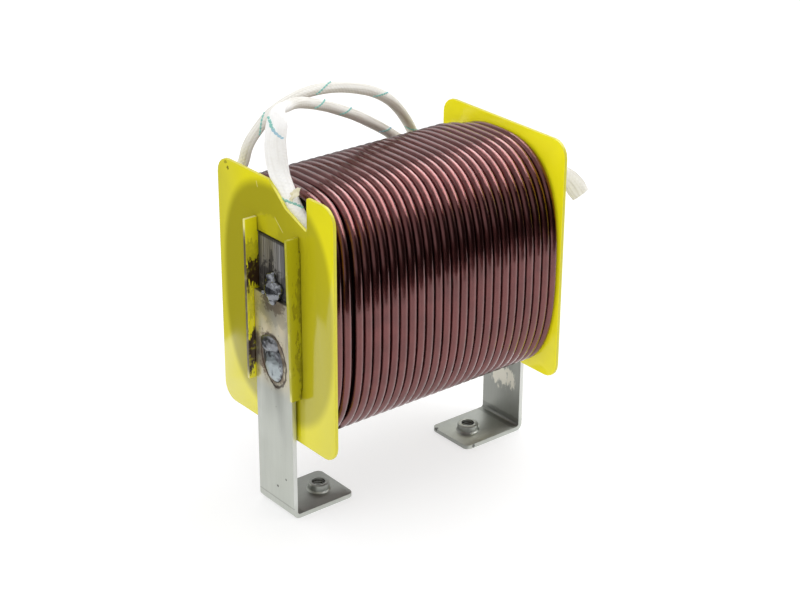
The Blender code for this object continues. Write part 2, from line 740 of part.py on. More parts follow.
def main():
    clear_scene()
    parts = new_collection("single_coil_reactor")
    cutters = new_collection("cutters")
    build_core(parts)
    build_front_flange(parts)
    build_rear_flange(parts)
    build_side_boards(parts)
    build_lining_boards(parts)
    build_inner_winding(parts, cutters)
    build_outer_winding(parts)
    build_end("front", 0.0, FRONT_FOOT_LENGTH, parts, cutters)
    build_end("rear", 180.0, REAR_FOOT_LENGTH, parts, cutters)
    build_leads(parts)


main()
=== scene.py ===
"""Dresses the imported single-coil reactor: real wire, sleeving, board, strip and weld
finishes on the CAD frame, with a camera and a plain light stage."""

import math

import bmesh
import bpy
import numpy as np
from bpy.props import FloatProperty, FloatVectorProperty, IntProperty, PointerProperty
from mathutils import Matrix, Vector, noise


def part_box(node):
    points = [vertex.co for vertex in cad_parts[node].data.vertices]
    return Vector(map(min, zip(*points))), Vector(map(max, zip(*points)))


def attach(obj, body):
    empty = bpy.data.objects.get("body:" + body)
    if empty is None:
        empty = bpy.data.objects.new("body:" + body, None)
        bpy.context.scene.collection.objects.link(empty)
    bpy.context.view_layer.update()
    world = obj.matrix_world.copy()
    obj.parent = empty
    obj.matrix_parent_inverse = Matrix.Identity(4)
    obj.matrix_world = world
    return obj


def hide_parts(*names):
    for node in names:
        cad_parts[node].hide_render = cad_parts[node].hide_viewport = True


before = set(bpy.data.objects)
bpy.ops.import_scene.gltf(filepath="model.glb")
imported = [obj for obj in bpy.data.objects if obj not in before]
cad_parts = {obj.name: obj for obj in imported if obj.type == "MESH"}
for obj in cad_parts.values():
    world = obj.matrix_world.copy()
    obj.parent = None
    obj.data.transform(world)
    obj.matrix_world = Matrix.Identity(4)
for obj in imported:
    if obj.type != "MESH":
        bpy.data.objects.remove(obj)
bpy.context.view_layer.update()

bl_info = {
    "name": "Single-coil reactor looks",
    "version": (1, 0, 0),
    "blender": (4, 5, 0),
    "location": "3D View > Sidebar > Reactor",
    "description": "Wire, sleeving, board, strip and weld finishes for a single-coil reactor",
    "category": "Object",
}

MM = 0.001

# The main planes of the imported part, read from its nodes
FLANGE_LOW, FLANGE_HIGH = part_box("front_flange")
STRIP_LOW, STRIP_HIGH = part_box("front_bracket")
CORE_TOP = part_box("core_stack")[1].z
INNER_FACE_X = -FLANGE_HIGH.x
MIDDLE_Z = (FLANGE_LOW.z + FLANGE_HIGH.z) / 2
STRIP_Y = (STRIP_LOW.y + STRIP_HIGH.y) / 2
STRIP_FACE_X = STRIP_LOW.x
STRIP_THICKNESS = 1.5 * MM

# The winding's rounded section and the places of its turns, as the CAD model has them
WINDING_Y = 0.2 * MM
WINDING_Z = MIDDLE_Z - 0.8 * MM
HALF_WIDTH = 27.9 * MM
HALF_HEIGHT = 39.4 * MM
FRONT_BULGE = 0.5 * MM
UNDERSIDE_SAG = 0.4 * MM
ROUNDNESS = 2.7
BACK_SHOULDER = 3.8
SHOULDER_FADE = (34.0 * MM, 43.0 * MM)
FRONT_UNDERSIDE = 3.0
TURNS = 26
END_TURN_X = INNER_FACE_X - 1.9 * MM
TOP_SPACE = 4.3 * MM
TOP_ENDS_SPREAD = (3.25 * MM, 3.75 * MM)
SIDE_ENDS_SPREAD = (3.45 * MM, 4.5 * MM)
START_ANGLE = 62.0
TOP_ENDS = 110.0
SIDE_BEGINS = 175.0
SIDE_ENDS = 300.0
TAIL = Vector((-43.2, 28.1, 97.2)) * MM
INNER_PITCH = 3.35 * MM

# Where the winding's painted shade lies on the flanges: centre and half sizes in Y and Z
WINDING_SHADE_CENTRE = (WINDING_Y - 1.2 * MM, WINDING_Z + 2.5 * MM)
WINDING_SHADE_HALVES = (HALF_WIDTH + 1.9 * MM, HALF_HEIGHT + 1.6 * MM)

# The tapped hole in each foot
HOLE_X = 32.5 * MM
THREAD_RADIUS = 2.26 * MM
THREAD_TOP = 4.0 * MM
THREAD_PITCH = 0.8 * MM
THREAD_STEPS = 24

# Edges that are broken: the least angle between their faces, and the bevel's segments
SHARP_ANGLE = math.radians(35.0)
EDGE_SEGMENTS = 2

# The sleeving's braid, and its wall and mouth at the cut end
BRAID_STRANDS = 16.0
BRAID_STEPS_PER_METRE = 1500.0
SLEEVE_WALL = 0.42 * MM
MOUTH_DEPTH = 3.0 * MM

# The tracer yarn: the side it shows on, its part of a turn, and its dips into the braid
SEEN_SIDE = Vector((-0.571, -0.705, 0.421))
YARN_TURN = 0.16
YARN_DIPS = 19.0
YARN_WAVE = 0.20 * MM
YARN_SUNK = 0.12 * MM

# Where the tracer yarn comes to the sleeving's surface, in mm from each lead's start
START_TRACER_MM = (13.7, 40.0, 74.6, 91.9, 120.8, 141.0, 161.0, 181.0, 201.0)
FINISH_TRACER_MM = (26.2, 50.8, 76.2, 105.6, 126.0)

# How the leads are pressed: share of the length, width and thickness in mm, width's way
SQUEEZED = (-0.81, 0.41, -0.41)
CUT_OFF = (0.75, -0.29, 0.54)
START_FLATS = (
    (0.0, (6.0, 3.0), SQUEEZED),
    (0.10, (6.1, 2.9), SQUEEZED),
    (0.13, (7.0, 2.7), SQUEEZED),
    (0.185, (6.9, 2.7), SQUEEZED),
    (0.21, (4.8, 3.2), SQUEEZED),
    (0.24, (3.8, 3.6), SQUEEZED),
    (0.90, (3.8, 3.6), CUT_OFF),
    (0.95, (6.0, 2.9), CUT_OFF),
    (0.985, (7.6, 2.5), CUT_OFF),
    (1.0, (6.8, 2.4), CUT_OFF),
)
FINISH_FLATS = ((0.0, (3.7, 3.7), (0.0, 1.0, 0.0)), (1.0, (3.7, 3.7), (0.0, 1.0, 0.0)))

# Lobes of each weld at the front end: centre and radii in mm, and their lean in degrees
PLUG_LOBES_MM = (
    ((-49.0, -0.95, 53.9), (0.75, 5.3, 7.5), -15.0),
    ((-49.2, -1.5, 52.3), (1.45, 4.6, 5.6), -12.0),
    ((-49.1, 0.9, 58.9), (1.15, 4.8, 2.9), -8.0),
    ((-49.6, 2.4, 57.6), (0.85, 1.9, 1.3), 20.0),
    ((-49.5, -1.4, 59.9), (0.85, 1.7, 1.2), -30.0),
)
BEAD_LOBES_MM = (
    ((-48.4, -0.9, 77.2), (2.3, 3.9, 3.9), 0.0),
    ((-49.4, -1.4, 75.2), (0.95, 2.3, 2.3), 0.0),
    ((-47.9, 0.8, 80.4), (1.5, 2.9, 2.4), 20.0),
    ((-48.0, -3.0, 78.6), (1.6, 2.3, 2.2), 0.0),
    ((-47.6, 0.2, 82.4), (0.9, 1.2, 1.0), 0.0),
    ((-48.9, 3.9, 75.6), (0.8, 1.1, 0.8), 0.0),
)
PLUG_CRATER_MM = ((-50.6, -1.9, 51.2), (1.6, 0.55, 2.2), 0.6)
PLUG_RADII_MM = (60.0, 5.7, 7.9)
PLUG_LEAN = -15.0
MELT_VOXEL = 0.16 * MM

# The leads' routes, as the CAD model has them
START_ROUTE_MM = (
    (-43.4, -14.4, 97.2), (-43.4, -9.6, 101.4), (-43.4, -4.4, 106.2), (-43.4, -0.2, 111.4),
    (-43.9, 1.5, 116.4), (-45.5, 0.4, 124.0), (-46.2, -1.6, 131.4), (-44.2, 0.6, 134.6),
    (-38.7, 4.0, 134.0), (-32.1, 8.0, 132.7), (-24.6, 12.0, 130.0), (-15.1, 16.0, 126.0),
    (-6.6, 19.5, 121.8), (1.7, 22.5, 117.5), (10.6, 26.0, 112.2), (20.1, 30.0, 106.2),
    (31.0, 33.4, 98.6), (47.0, 34.5, 89.4), (64.0, 32.4, 83.2), (80.0, 28.4, 79.8),
    (92.0, 24.4, 77.0), (98.6, 21.4, 72.6), (101.6, 18.0, 66.6),
)
FINISH_ROUTE_MM = (
    (-43.2, 28.1, 97.6), (-43.2, 28.1, 100.2), (-42.0, 28.2, 104.0), (-38.7, 28.0, 108.8),
    (-36.9, 28.0, 113.6), (-33.8, 28.0, 117.6), (-27.8, 27.0, 123.4), (-17.5, 26.2, 127.3),
    (-9.6, 26.0, 127.8), (-1.6, 26.0, 126.8), (6.9, 26.5, 124.3), (13.5, 27.0, 121.6),
    (20.2, 28.5, 117.5), (26.5, 31.0, 112.2), (32.0, 34.0, 106.8), (37.1, 37.0, 101.0),
    (42.6, 40.0, 93.0), (46.6, 41.8, 82.6), (48.6, 42.4, 71.0),
)

# The camera that was fitted to the photograph: its axes and its place
CAMERA_RIGHT = (0.77847108, -0.62766023, 0.00504097)
CAMERA_UP = (0.26039921, 0.3302531, 0.90726244)
CAMERA_BACK = (-0.57111735, -0.70496491, 0.42053472)
CAMERA_PLACE = (-0.352388, -0.438309, 0.320830)


def number(name, words, default, **options):
    return FloatProperty(name=name, description=words, default=default, **options)


def length(name, words, default):
    return number(name, words, default, unit="LENGTH", min=0.0)


def colour(name, words, default):
    return FloatVectorProperty(
        name=name, description=words, subtype="COLOR", size=4, min=0.0, max=1.0,
        default=(*default, 1.0))


class BoardSettings(bpy.types.PropertyGroup):
    clear: colour("Board", "Glass board with nothing behind it", (0.78, 0.71, 0.012))
    lit: colour("Rear board", "Board that light shines through", (0.95, 0.87, 0.015))
    # Painted shade of the winding behind a flange; the same colour also gives the board its random
    # mottle
    mottle_and_winding_shade: colour("Backed board", "Board with the dark winding behind it", (0.38, 0.34, 0.010))
    # Painted shade: a darker copy of the board, for the right side board and for its edge below a
    # height
    shaded: colour("Shaded board", "Board before the darker winding", (0.42, 0.39, 0.008))
    # Painted light: a paler board where pale light comes through it
    pale_light: colour("Pale-lit board", "Board with pale light behind it", (0.69, 0.63, 0.045))
    cut: colour("Cut edge", "Sawn edge of the flanges", (0.62, 0.57, 0.032))
    head_cut: colour("Head edge", "Paler sawn edge of the side boards", (0.86, 0.80, 0.34))
    soiled_cut: colour("Soiled edge", "Edge dirtied by the welding", (0.11, 0.088, 0.055))
    scorch: colour("Scorch", "Board burnt by the welding", (0.035, 0.018, 0.008))
    edge_break: length("Edge break", "Width of the bevel on the sawn edges", 0.22 * MM)


class WireSettings(bpy.types.PropertyGroup):
    diameter: length("Wire diameter", "Diameter over the enamel", 3.2 * MM)
    enamel: colour("Enamel", "Copper seen through red-brown enamel", (0.165, 0.046, 0.044))
    points_per_turn: IntProperty(
        name="Points per turn", description="Smoothness of each turn", min=22, max=120, default=72)


class SleeveSettings(bpy.types.PropertyGroup):
    diameter: length("Sleeve diameter", "Outside diameter of the round sleeving", 3.7 * MM)
    glass: colour("Sleeving", "Braided glass sleeving", (0.97, 0.96, 0.945))
    greyed: colour("Greyed sleeving", "Duller, handled stretches", (0.86, 0.84, 0.79))
    # Grime streaks, and painted shade on the sleeving's underside
    grime_and_shade: colour("Soiled sleeving", "Grime in the handled stretches", (0.42, 0.38, 0.28))
    tracer: colour("Tracer", "Green tracer yarn in the braid", (0.27, 0.58, 0.52))
    tracer_blue: colour("Tracer's blue", "Blue strand of the tracer yarn", (0.38, 0.58, 0.68))
    tracer_radius: length("Tracer radius", "Radius of the tracer yarn", 0.30 * MM)
    tracer_pitch: length("Tracer pitch", "Length of one turn of the tracer yarn", 20.0 * MM)


class MetalSettings(bpy.types.PropertyGroup):
    strip: colour("Strip", "Rolled steel strip", (0.57, 0.59, 0.545))
    # Lighter sheared edge, painted only on faces towards -Y: partly the edge's own colour, partly
    # painted highlight
    sheared: colour("Sheared edge", "Brighter sheared edge of the strip", (0.86, 0.87, 0.85))
    heat_tint: colour("Heat tint", "Strip tinted by the welds", (0.76, 0.68, 0.50))
    # Painted shade for the strip's upper and inner sides
    inner_shade: colour("Shaded strip", "Strip on its upper and inner sides", (0.10, 0.102, 0.095))
    scorched: colour("Scorched steel", "Brown rim where a weld burnt it", (0.15, 0.09, 0.06))
    weld: colour("Weld", "Clean metal in the middle of the plug weld", (0.42, 0.47, 0.49))
    bead: colour("Bead", "Darker weld metal over the strip's upper end", (0.25, 0.26, 0.28))
    sheet: colour("Core sheet", "Sheared edges of the core sheets", (0.36, 0.355, 0.36))
    sheet_brown: colour("Browned sheet", "Core sheets browned by heat", (0.20, 0.18, 0.135))
    # Also used for painted shade along the core's top edge
    soot: colour("Soot", "Weld soot and slag", (0.03, 0.027, 0.025))
    edge_break: length("Edge break", "Width of the worn edge of the strip", 0.25 * MM)


class StageSettings(bpy.types.PropertyGroup):
    floor: colour("Floor", "Pale studio floor", (0.48, 0.48, 0.48))
    floor_glow: number("Floor glow", "Light that comes through the floor", 0.56)
    near_floor: length("Lit floor", "Length to each side of the lit paper", 0.30)
    near_depth: length("Lit floor's depth", "Depth to each side of the lit paper", 0.19)
    key_power: number("Key power", "Soft light on matt surfaces", 2.6, unit="POWER")
    softbox_power: number("Softbox power", "Softbox in reflections", 14.6, unit="POWER")
    fill_power: number("Fill power", "Power of each fill light", 1.5, unit="POWER")
    surround: number("Surround", "Brightness of the room in reflections", 0.57)
    dark_side: number("Dark side", "Brightness of the room's dark side", 0.02)
    ambient: number("Ambient", "Brightness of the soft light from all round", 0.85)
    lens: number("Lens", "Focal length in millimetres", 85.081)


class Nodes:
    """A node tree, built up by calls that each give a node's output."""

    def __init__(self, tree):
        self.tree = tree

    def add(self, kind, inputs=(), **options):
        node = self.tree.nodes.new(kind)
        for option, value in options.items():
            setattr(node, option, value)
        for socket, value in dict(inputs).items():
            if isinstance(value, bpy.types.NodeSocket):
                self.tree.links.new(value, node.inputs[socket])
            else:
                node.inputs[socket].default_value = value
        return node

    def calc(self, operation, *values):
        values = dict(enumerate(values))
        return self.add("ShaderNodeMath", values, operation=operation).outputs[0]

    def times(self, first, *others):
        for other in others:
            first = self.calc("MULTIPLY", first, other)
        return first

    def away(self, value, middle=0.0):
        """How far a value is from a middle, either way."""
        if middle:
            value = self.calc("SUBTRACT", value, middle)
        return self.calc("ABSOLUTE", value)

    def dot(self, first, second):
        values = {0: first, 1: second}
        return self.add(
            "ShaderNodeVectorMath", values, operation="DOT_PRODUCT").outputs["Value"]

    def spread(self, value, low, high, to_low=0.0, to_high=1.0, smooth=True):
        values = {
            "Value": value, "From Min": low, "From Max": high, "To Min": to_low, "To Max": to_high}
        kind = "SMOOTHSTEP" if smooth else "LINEAR"
        return self.add("ShaderNodeMapRange", values, interpolation_type=kind).outputs[0]

    def mix(self, share, first, second):
        values = {0: share, 6: first, 7: second}
        return self.add("ShaderNodeMix", values, data_type="RGBA").outputs[2]


class Look(Nodes):
    """A procedural material on Object coordinates, with colours painted over a base."""

    def __init__(self, name, base, **settings):
        self.material = bpy.data.materials.new(name)
        self.material.use_nodes = True
        super().__init__(self.material.node_tree)
        self.shader = self.tree.nodes["Principled BSDF"]
        for socket, value in settings.items():
            self.shader.inputs[socket.replace("_", " ")].default_value = value
        self.place = self.add("ShaderNodeTexCoord").outputs["Object"]
        self.shade = tuple(base)

    def paint(self, over, *masks):
        """Lay a colour over those below it, by the product of the masks."""
        self.shade = self.mix(self.times(*masks), self.shade, tuple(over))

    def finish(self, **sockets):
        """Link the painted colour and the other sockets, and give the material."""
        for socket, value in {"Base_Color": self.shade, **sockets}.items():
            self.tree.links.new(value, self.shader.inputs[socket.replace("_", " ")])
        return self.material

    def axes(self, vector=None):
        return self.add("ShaderNodeSeparateXYZ", {0: vector or self.place}).outputs

    def mapped(self, vector=None, **values):
        return self.add("ShaderNodeMapping", {"Vector": vector or self.place, **values}).outputs[0]

    def noise(self, scale, detail=3.0, roughness=0.55, vector=None):
        values = {
            "Vector": vector or self.place, "Scale": scale, "Detail": detail,
            "Roughness": roughness}
        return self.add("ShaderNodeTexNoise", values).outputs["Fac"]

    def cloud(self, scale, low, high, to_low=0.0, to_high=1.0, detail=3.0, roughness=0.55):
        """Noise with its middle range spread over a range of strengths."""
        return self.spread(self.noise(scale, detail, roughness), low, high, to_low, to_high)

    def bump(self, height, distance, strength=1.0, under=None):
        values = {"Height": height, "Distance": distance, "Strength": strength}
        if under is not None:
            values["Normal"] = under
        return self.add("ShaderNodeBump", values).outputs[0]

    def near(self, centre_mm, radii_mm, lean=0.0):
        """Distance from a centre, where 1 is the surface of an ellipsoid with these radii."""
        place = self.mapped(Location=[-part * MM for part in centre_mm])
        place = self.mapped(place, Rotation=(math.radians(-lean), 0.0, 0.0))
        place = self.mapped(place, Scale=[1.0 / (radius * MM) for radius in radii_mm])
        return self.add("ShaderNodeVectorMath", {0: place}, operation="LENGTH").outputs["Value"]

    def patch(self, centre_mm, radii_mm, ragged=0.25, scale=500.0, grain=None, lean=0.0):
        """A mask that is 1 inside a ragged ellipsoid and 0 outside it."""
        fray = self.spread(self.noise(scale, 4.0, 0.7, grain), 0.3, 0.7, -ragged, ragged)
        distance = self.calc("ADD", self.near(centre_mm, radii_mm, lean), fray)
        return self.spread(distance, 1.05, 0.75)

    def facing(self, way, low, high):
        """A mask by how far the surface faces one way, which stays with the piece."""
        normal = self.add("ShaderNodeNewGeometry").outputs["Normal"]
        return self.spread(self.dot(normal, way), low, high)

    def scratch(self, start_mm, end_mm, width_mm):
        """A mask along a line in the YZ plane, on the front face of the front flange."""
        start = Vector((0.0, *start_mm)) * MM
        way = Vector((0.0, *end_mm)) * MM - start
        unit = way.normalized()
        across = Vector((0.0, -unit.z, unit.y))
        moved = self.add(
            "ShaderNodeVectorMath", {0: self.place, 1: start}, operation="SUBTRACT").outputs[0]
        half = way.length / 2
        width = width_mm * MM
        inside = self.spread(self.away(self.dot(moved, unit), half), half, half * 0.7)
        line = self.spread(self.away(self.dot(moved, across)), width, width * 0.3)
        front = self.spread(self.axes()[0], -INNER_FACE_X, -INNER_FACE_X - MM, smooth=False)
        return self.times(front, inside, line)


def dimmed(shade, share):
    return tuple(part * share for part in shade[:3]) + (1.0,)


def linked(name, data):
    """A new object in the scene, at the origin."""
    thing = bpy.data.objects.new(name, data)
    bpy.context.scene.collection.objects.link(thing)
    return thing


def mesh_of(shape, name):
    mesh = bpy.data.meshes.new(name)
    shape.to_mesh(mesh)
    shape.free()
    return mesh


def evaluated_mesh(holder):
    """The mesh that an object's modifiers or bevel make; the object itself goes."""
    bpy.context.view_layer.update()
    graph = bpy.context.evaluated_depsgraph_get()
    mesh = bpy.data.meshes.new_from_object(holder.evaluated_get(graph))
    bpy.data.objects.remove(holder)
    return mesh


def finished(name, mesh, looks, smooth_angle=40.0):
    """A finished piece at the origin, riding on the one body."""
    mesh.name = name
    for look in looks:
        mesh.materials.append(look)
    piece = linked(name, mesh)
    mesh.shade_smooth()
    mesh.set_sharp_from_angle(angle=math.radians(smooth_angle))
    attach(piece, "root")
    return piece


def refinish(node, look):
    """Give a CAD node that stays a better material."""
    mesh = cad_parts[node].data
    mesh.materials.clear()
    mesh.materials.append(look)


def welded(node):
    """A merged copy of a CAD node's mesh."""
    shape = bmesh.new()
    shape.from_mesh(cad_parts[node].data)
    bmesh.ops.remove_doubles(shape, verts=shape.verts, dist=2e-6)
    bmesh.ops.dissolve_limit(
        shape, angle_limit=math.radians(0.5), verts=shape.verts, edges=shape.edges)
    return shape


def break_edges(shape, width):
    sharp = [
        edge for edge in shape.edges
        if len(edge.link_faces) == 2 and edge.calc_face_angle() > SHARP_ANGLE
    ]
    bmesh.ops.bevel(
        shape, geom=sharp, offset=width, offset_type="OFFSET", segments=EDGE_SEGMENTS,
        profile=0.5, affect="EDGES", material=-1, clamp_overlap=True, loop_slide=True)


def smooth_step(value, low, high):
    share = min(max((value - low) / (high - low), 0.0), 1.0)
    return share * share * (3.0 - 2.0 * share)


def distances(points):
    """How far along a polyline each of its points lies."""
    steps = np.linalg.norm(np.diff(points, axis=0), axis=1)
    return np.concatenate([[0.0], np.cumsum(steps)])


def smooth_route(route_mm, spacing):
    """Points at even spacing on a smooth curve through the route's own points."""
    knots = np.array(route_mm) * MM
    ends = np.vstack([2 * knots[0] - knots[1], knots, 2 * knots[-1] - knots[-2]])
    dense = []
    for before, start, end, after in zip(ends, ends[1:], ends[2:], ends[3:]):
        ease_in = (end - before) / 2
        ease_out = (after - start) / 2
        for share in np.linspace(0.0, 1.0, 24, endpoint=False):
            squared = share * share
            cubed = squared * share
            point = (2 * cubed - 3 * squared + 1) * start + (cubed - 2 * squared + share) * ease_in
            dense.append(point + (3 * squared - 2 * cubed) * end + (cubed - squared) * ease_out)
    dense = np.array(dense + [knots[-1]])
    travelled = distances(dense)
    count = max(int(round(travelled[-1] / spacing)), 2)
    wanted = np.linspace(0.0, travelled[-1], count + 1)
    return np.stack([np.interp(wanted, travelled, dense[:, axis]) for axis in range(3)], axis=1)


def tube_mesh(name, points, diameter, resolution):
    """A round tube along a polyline, made as a bevelled curve and turned into a mesh."""
    curve = bpy.data.curves.new(name, "CURVE")
    curve.dimensions = "3D"
    curve.bevel_depth = diameter / 2
    curve.bevel_resolution = resolution
    curve.use_fill_caps = True
    spline = curve.splines.new("POLY")
    spline.points.add(len(points) - 1)
    for point, place in zip(spline.points, points):
        point.co = (*place, 1.0)
    return evaluated_mesh(linked(name, curve))


def add_tube(shape, points, diameter, resolution, material):
    """Join a tube along a polyline to a shape."""
    mesh = tube_mesh("tube", points, diameter, resolution)
    for face in mesh.polygons:
        face.material_index = material
    shape.from_mesh(mesh)
    bpy.data.meshes.remove(mesh)


def outer_layer_point(angle, x):
    """A point on the outer layer's section, whose shape changes along X."""
    quarter = int(angle // 90.0)
    across = HALF_WIDTH
    upward = HALF_HEIGHT
    roundness = ROUNDNESS
    if quarter == 0:
        roundness = BACK_SHOULDER + (ROUNDNESS - BACK_SHOULDER) * smooth_step(x, *SHOULDER_FADE)
    if quarter in (1, 2):
        across += FRONT_BULGE * smooth_step(x, -END_TURN_X, END_TURN_X)
    if quarter in (2, 3):
        upward += UNDERSIDE_SAG
    if quarter == 2:
        roundness = FRONT_UNDERSIDE
    cosine = math.cos(math.radians(angle))
    sine = math.sin(math.radians(angle))
    power = 2.0 / roundness
    y = WINDING_Y + across * math.copysign(abs(cosine) ** power, cosine)
    z = WINDING_Z + upward * math.copysign(abs(sine) ** power, sine)
    return Vector((x, y, z))


def turn_places(space, spread):
    """Each turn's place along X, rear to front: even, but for the last two."""
    last = END_TURN_X - space
    places = [last, last - spread[0], last - spread[0] - spread[1]]
    even = TURNS - len(places)
    pitch = (END_TURN_X + places[-1]) / even
    return [END_TURN_X - pitch * turn for turn in range(even)] + [-place for place in places[::-1]]


def winding_route(points_per_turn):
    """The outer layer's wire: pressed together on top, spread on the front."""
    top = turn_places(TOP_SPACE, TOP_ENDS_SPREAD)
    side = turn_places(0.0, SIDE_ENDS_SPREAD)
    end = TURNS * 360.0
    over = 360.0 + START_ANGLE
    steps = round((end - START_ANGLE) * points_per_turn / 360.0)
    points = []
    for total in np.linspace(START_ANGLE, end, steps + 1):
        turn = min(int(total // 360.0), TURNS - 1)
        angle = total - turn * 360.0
        if angle < START_ANGLE:
            before = side[max(turn - 1, 0)]
            x = before + (top[turn] - before) * smooth_step(angle + 360.0, SIDE_ENDS, over)
        elif angle <= SIDE_ENDS or turn == TURNS - 1:
            x = top[turn] + (side[turn] - top[turn]) * smooth_step(angle, TOP_ENDS, SIDE_BEGINS)
        else:
            x = side[turn] + (top[turn + 1] - side[turn]) * smooth_step(angle, SIDE_ENDS, over)
        points.append(outer_layer_point(angle, x))
    leave = points[-1]
    points += [leave.lerp(TAIL, share) for share in np.linspace(0.05, 1.0, 12)]
    return points


def shade_by_winding(look, settings, outward):
    """Paint shade on a flange's outward face where the winding lies behind it, stronger towards
    the left; on the front flange, paint pale light towards its sides.
    """
    _, y, z = look.axes()
    rounds = []
    for value, middle, half in zip((y, z), WINDING_SHADE_CENTRE, WINDING_SHADE_HALVES):
        part = look.away(look.times(look.calc("SUBTRACT", value, middle), 1.0 / half))
        rounds.append(look.calc("POWER", part, ROUNDNESS))
    inside = look.spread(look.calc("ADD", *rounds), 1.02, 0.76)
    toward_left = look.spread(y, -26.0 * MM, 4.0 * MM, 0.74, 1.0)
    if outward < 0:
        # Painted pale light on the front flange towards both sides, left out in the upper right
        outer = look.spread(look.away(y), 13.0 * MM, 28.0 * MM, 0.0, 0.85)
        upper_right = look.times(
            look.spread(y, 0.0, -10.0 * MM), look.spread(z, 78.0 * MM, 92.0 * MM))
        look.paint(settings.pale_light, outer, look.calc("SUBTRACT", 1.0, upper_right))
    # Painted shade of the winding seen through the board
    face = look.facing((outward, 0.0, 0.0), 0.4, 0.8)
    look.paint(settings.mottle_and_winding_shade, inside, face, toward_left)


def scratched(look, settings):
    """Scratches, a rubbed place and two dirt spots on the near flange."""
    worn = look.calc(
        "MAXIMUM", look.scratch((8.9, 110.8), (8.2, 108.6), 0.25),
        look.scratch((-0.2, 101.9), (-5.0, 97.5), 0.20))
    look.paint(settings.head_cut, worn, 0.5)
    rubbed = look.patch((-47.0, 3.2, 98.0), (2.0, 5.6, 3.6), 0.3, 160.0)
    look.paint(settings.clear, rubbed, 0.22)
    for y, z, strength in ((25.6, 112.0, 0.45), (24.6, 110.2, 0.75)):
        dirt = look.patch((-47.0, y, z), (2.0, 0.75, 0.6), 0.6, 900.0)
        look.paint(settings.scorch, dirt, strength)


def board_look(settings, name, base, outward=0, scorches=(), glow=0.0):
    """Glossy glass board, with painted shade where the winding lies behind it and an optional
    painted glow; welding burns it.
    """
    look = Look(
        name, base, Roughness=0.13, IOR=1.5, Emission_Color=(0.95, 0.85, 0.0, 1.0),
        Emission_Strength=glow)
    # Random mottle, in the colour of the winding's painted shade
    look.paint(settings.mottle_and_winding_shade, look.cloud(45.0, 0.35, 0.75, 0.0, 0.14))
    if outward:
        shade_by_winding(look, settings, outward)
    for centre_mm, radii_mm, strength in scorches:
        streaks = look.mapped(Scale=(520.0, 520.0, 150.0))
        burnt = look.patch(centre_mm, radii_mm, 0.75, 1.0, streaks)
        cloud = look.cloud(300.0, 0.30, 0.62, 0.45 * strength, strength, roughness=0.6)
        look.paint(settings.scorch, burnt, cloud)
    if outward < 0:
        scratched(look, settings)
    speck = look.cloud(260.0, 0.74, 0.79, detail=2.0)
    look.paint((0.10, 0.08, 0.01, 1.0), speck, 0.3)
    weave = look.noise(1400.0, 2.0)
    return look.finish(Normal=look.bump(weave, 0.01 * MM, 0.25))


def cut_edge_look(settings, name, base, grime_and_shade=None, below_mm=0.0):
    """Sawn glass fibres, darkened up to a given height: with weld dirt where the edge stood by the
    welds, and with painted shade on the right side board's edge.
    """
    look = Look(name, base, Roughness=0.4)
    fibres = look.noise(900.0, 4.0, 0.7)
    look.paint(settings.clear, look.spread(fibres, 0.3, 0.7, 0.0, 0.35))
    if grime_and_shade:
        z = look.axes()[2]
        upper = look.spread(z, (below_mm + 2.0) * MM, (below_mm - 2.0) * MM)
        lower = look.spread(z, 43.0 * MM, 49.0 * MM)
        patchy = look.cloud(230.0, 0.30, 0.52, 0.70, 1.0, 4.0, 0.65)
        look.paint(grime_and_shade, upper, lower, patchy)
    return look.finish(Normal=look.bump(fibres, 0.03 * MM, 0.4))


def wire_look(settings, run):
    """Copper under glossy enamel, with fine drawing lines along the wire."""
    look = Look(
        "enamelled_wire", settings.enamel, Metallic=1.0, Roughness=0.23, Coat_Weight=1.0,
        Coat_Roughness=0.04, Coat_IOR=1.48)
    look.paint(dimmed(settings.enamel, 0.78), look.cloud(150.0, 0.3, 0.7))
    uv = look.add("ShaderNodeUVMap", uv_map="UVMap").outputs[0]
    along, around, _ = look.axes(uv)
    turned = look.times(around, 2.0 * math.pi)
    drawn = look.add("ShaderNodeCombineXYZ", {
        0: look.times(look.calc("COSINE", turned), 3.2),
        1: look.times(look.calc("SINE", turned), 3.2),
        2: look.times(along, run / (22.0 * MM)),
    }).outputs[0]
    lines = look.noise(1.0, 4.0, 0.65, drawn)
    dented = look.bump(look.noise(70.0, 2.0, 0.5), 0.9 * MM, 0.30)
    surface = look.bump(lines, 0.22 * MM, 0.42, dented)
    return look.finish(Normal=surface, Coat_Normal=surface)


def inner_layers_look():
    """The inner layers that show between the turns, coloured near black as painted shade in the
    gaps, with faint stripes for their turns.
    """
    look = Look("inner_layers", (0.004, 0.002, 0.002, 1.0), Roughness=0.5, Metallic=0.6)
    turns = look.calc("SINE", look.times(look.axes()[0], 2.0 * math.pi / INNER_PITCH))
    look.paint((0.06, 0.02, 0.018, 1.0), look.spread(turns, -1.0, 1.0))
    return look.finish(Normal=look.bump(turns, 0.8 * MM))


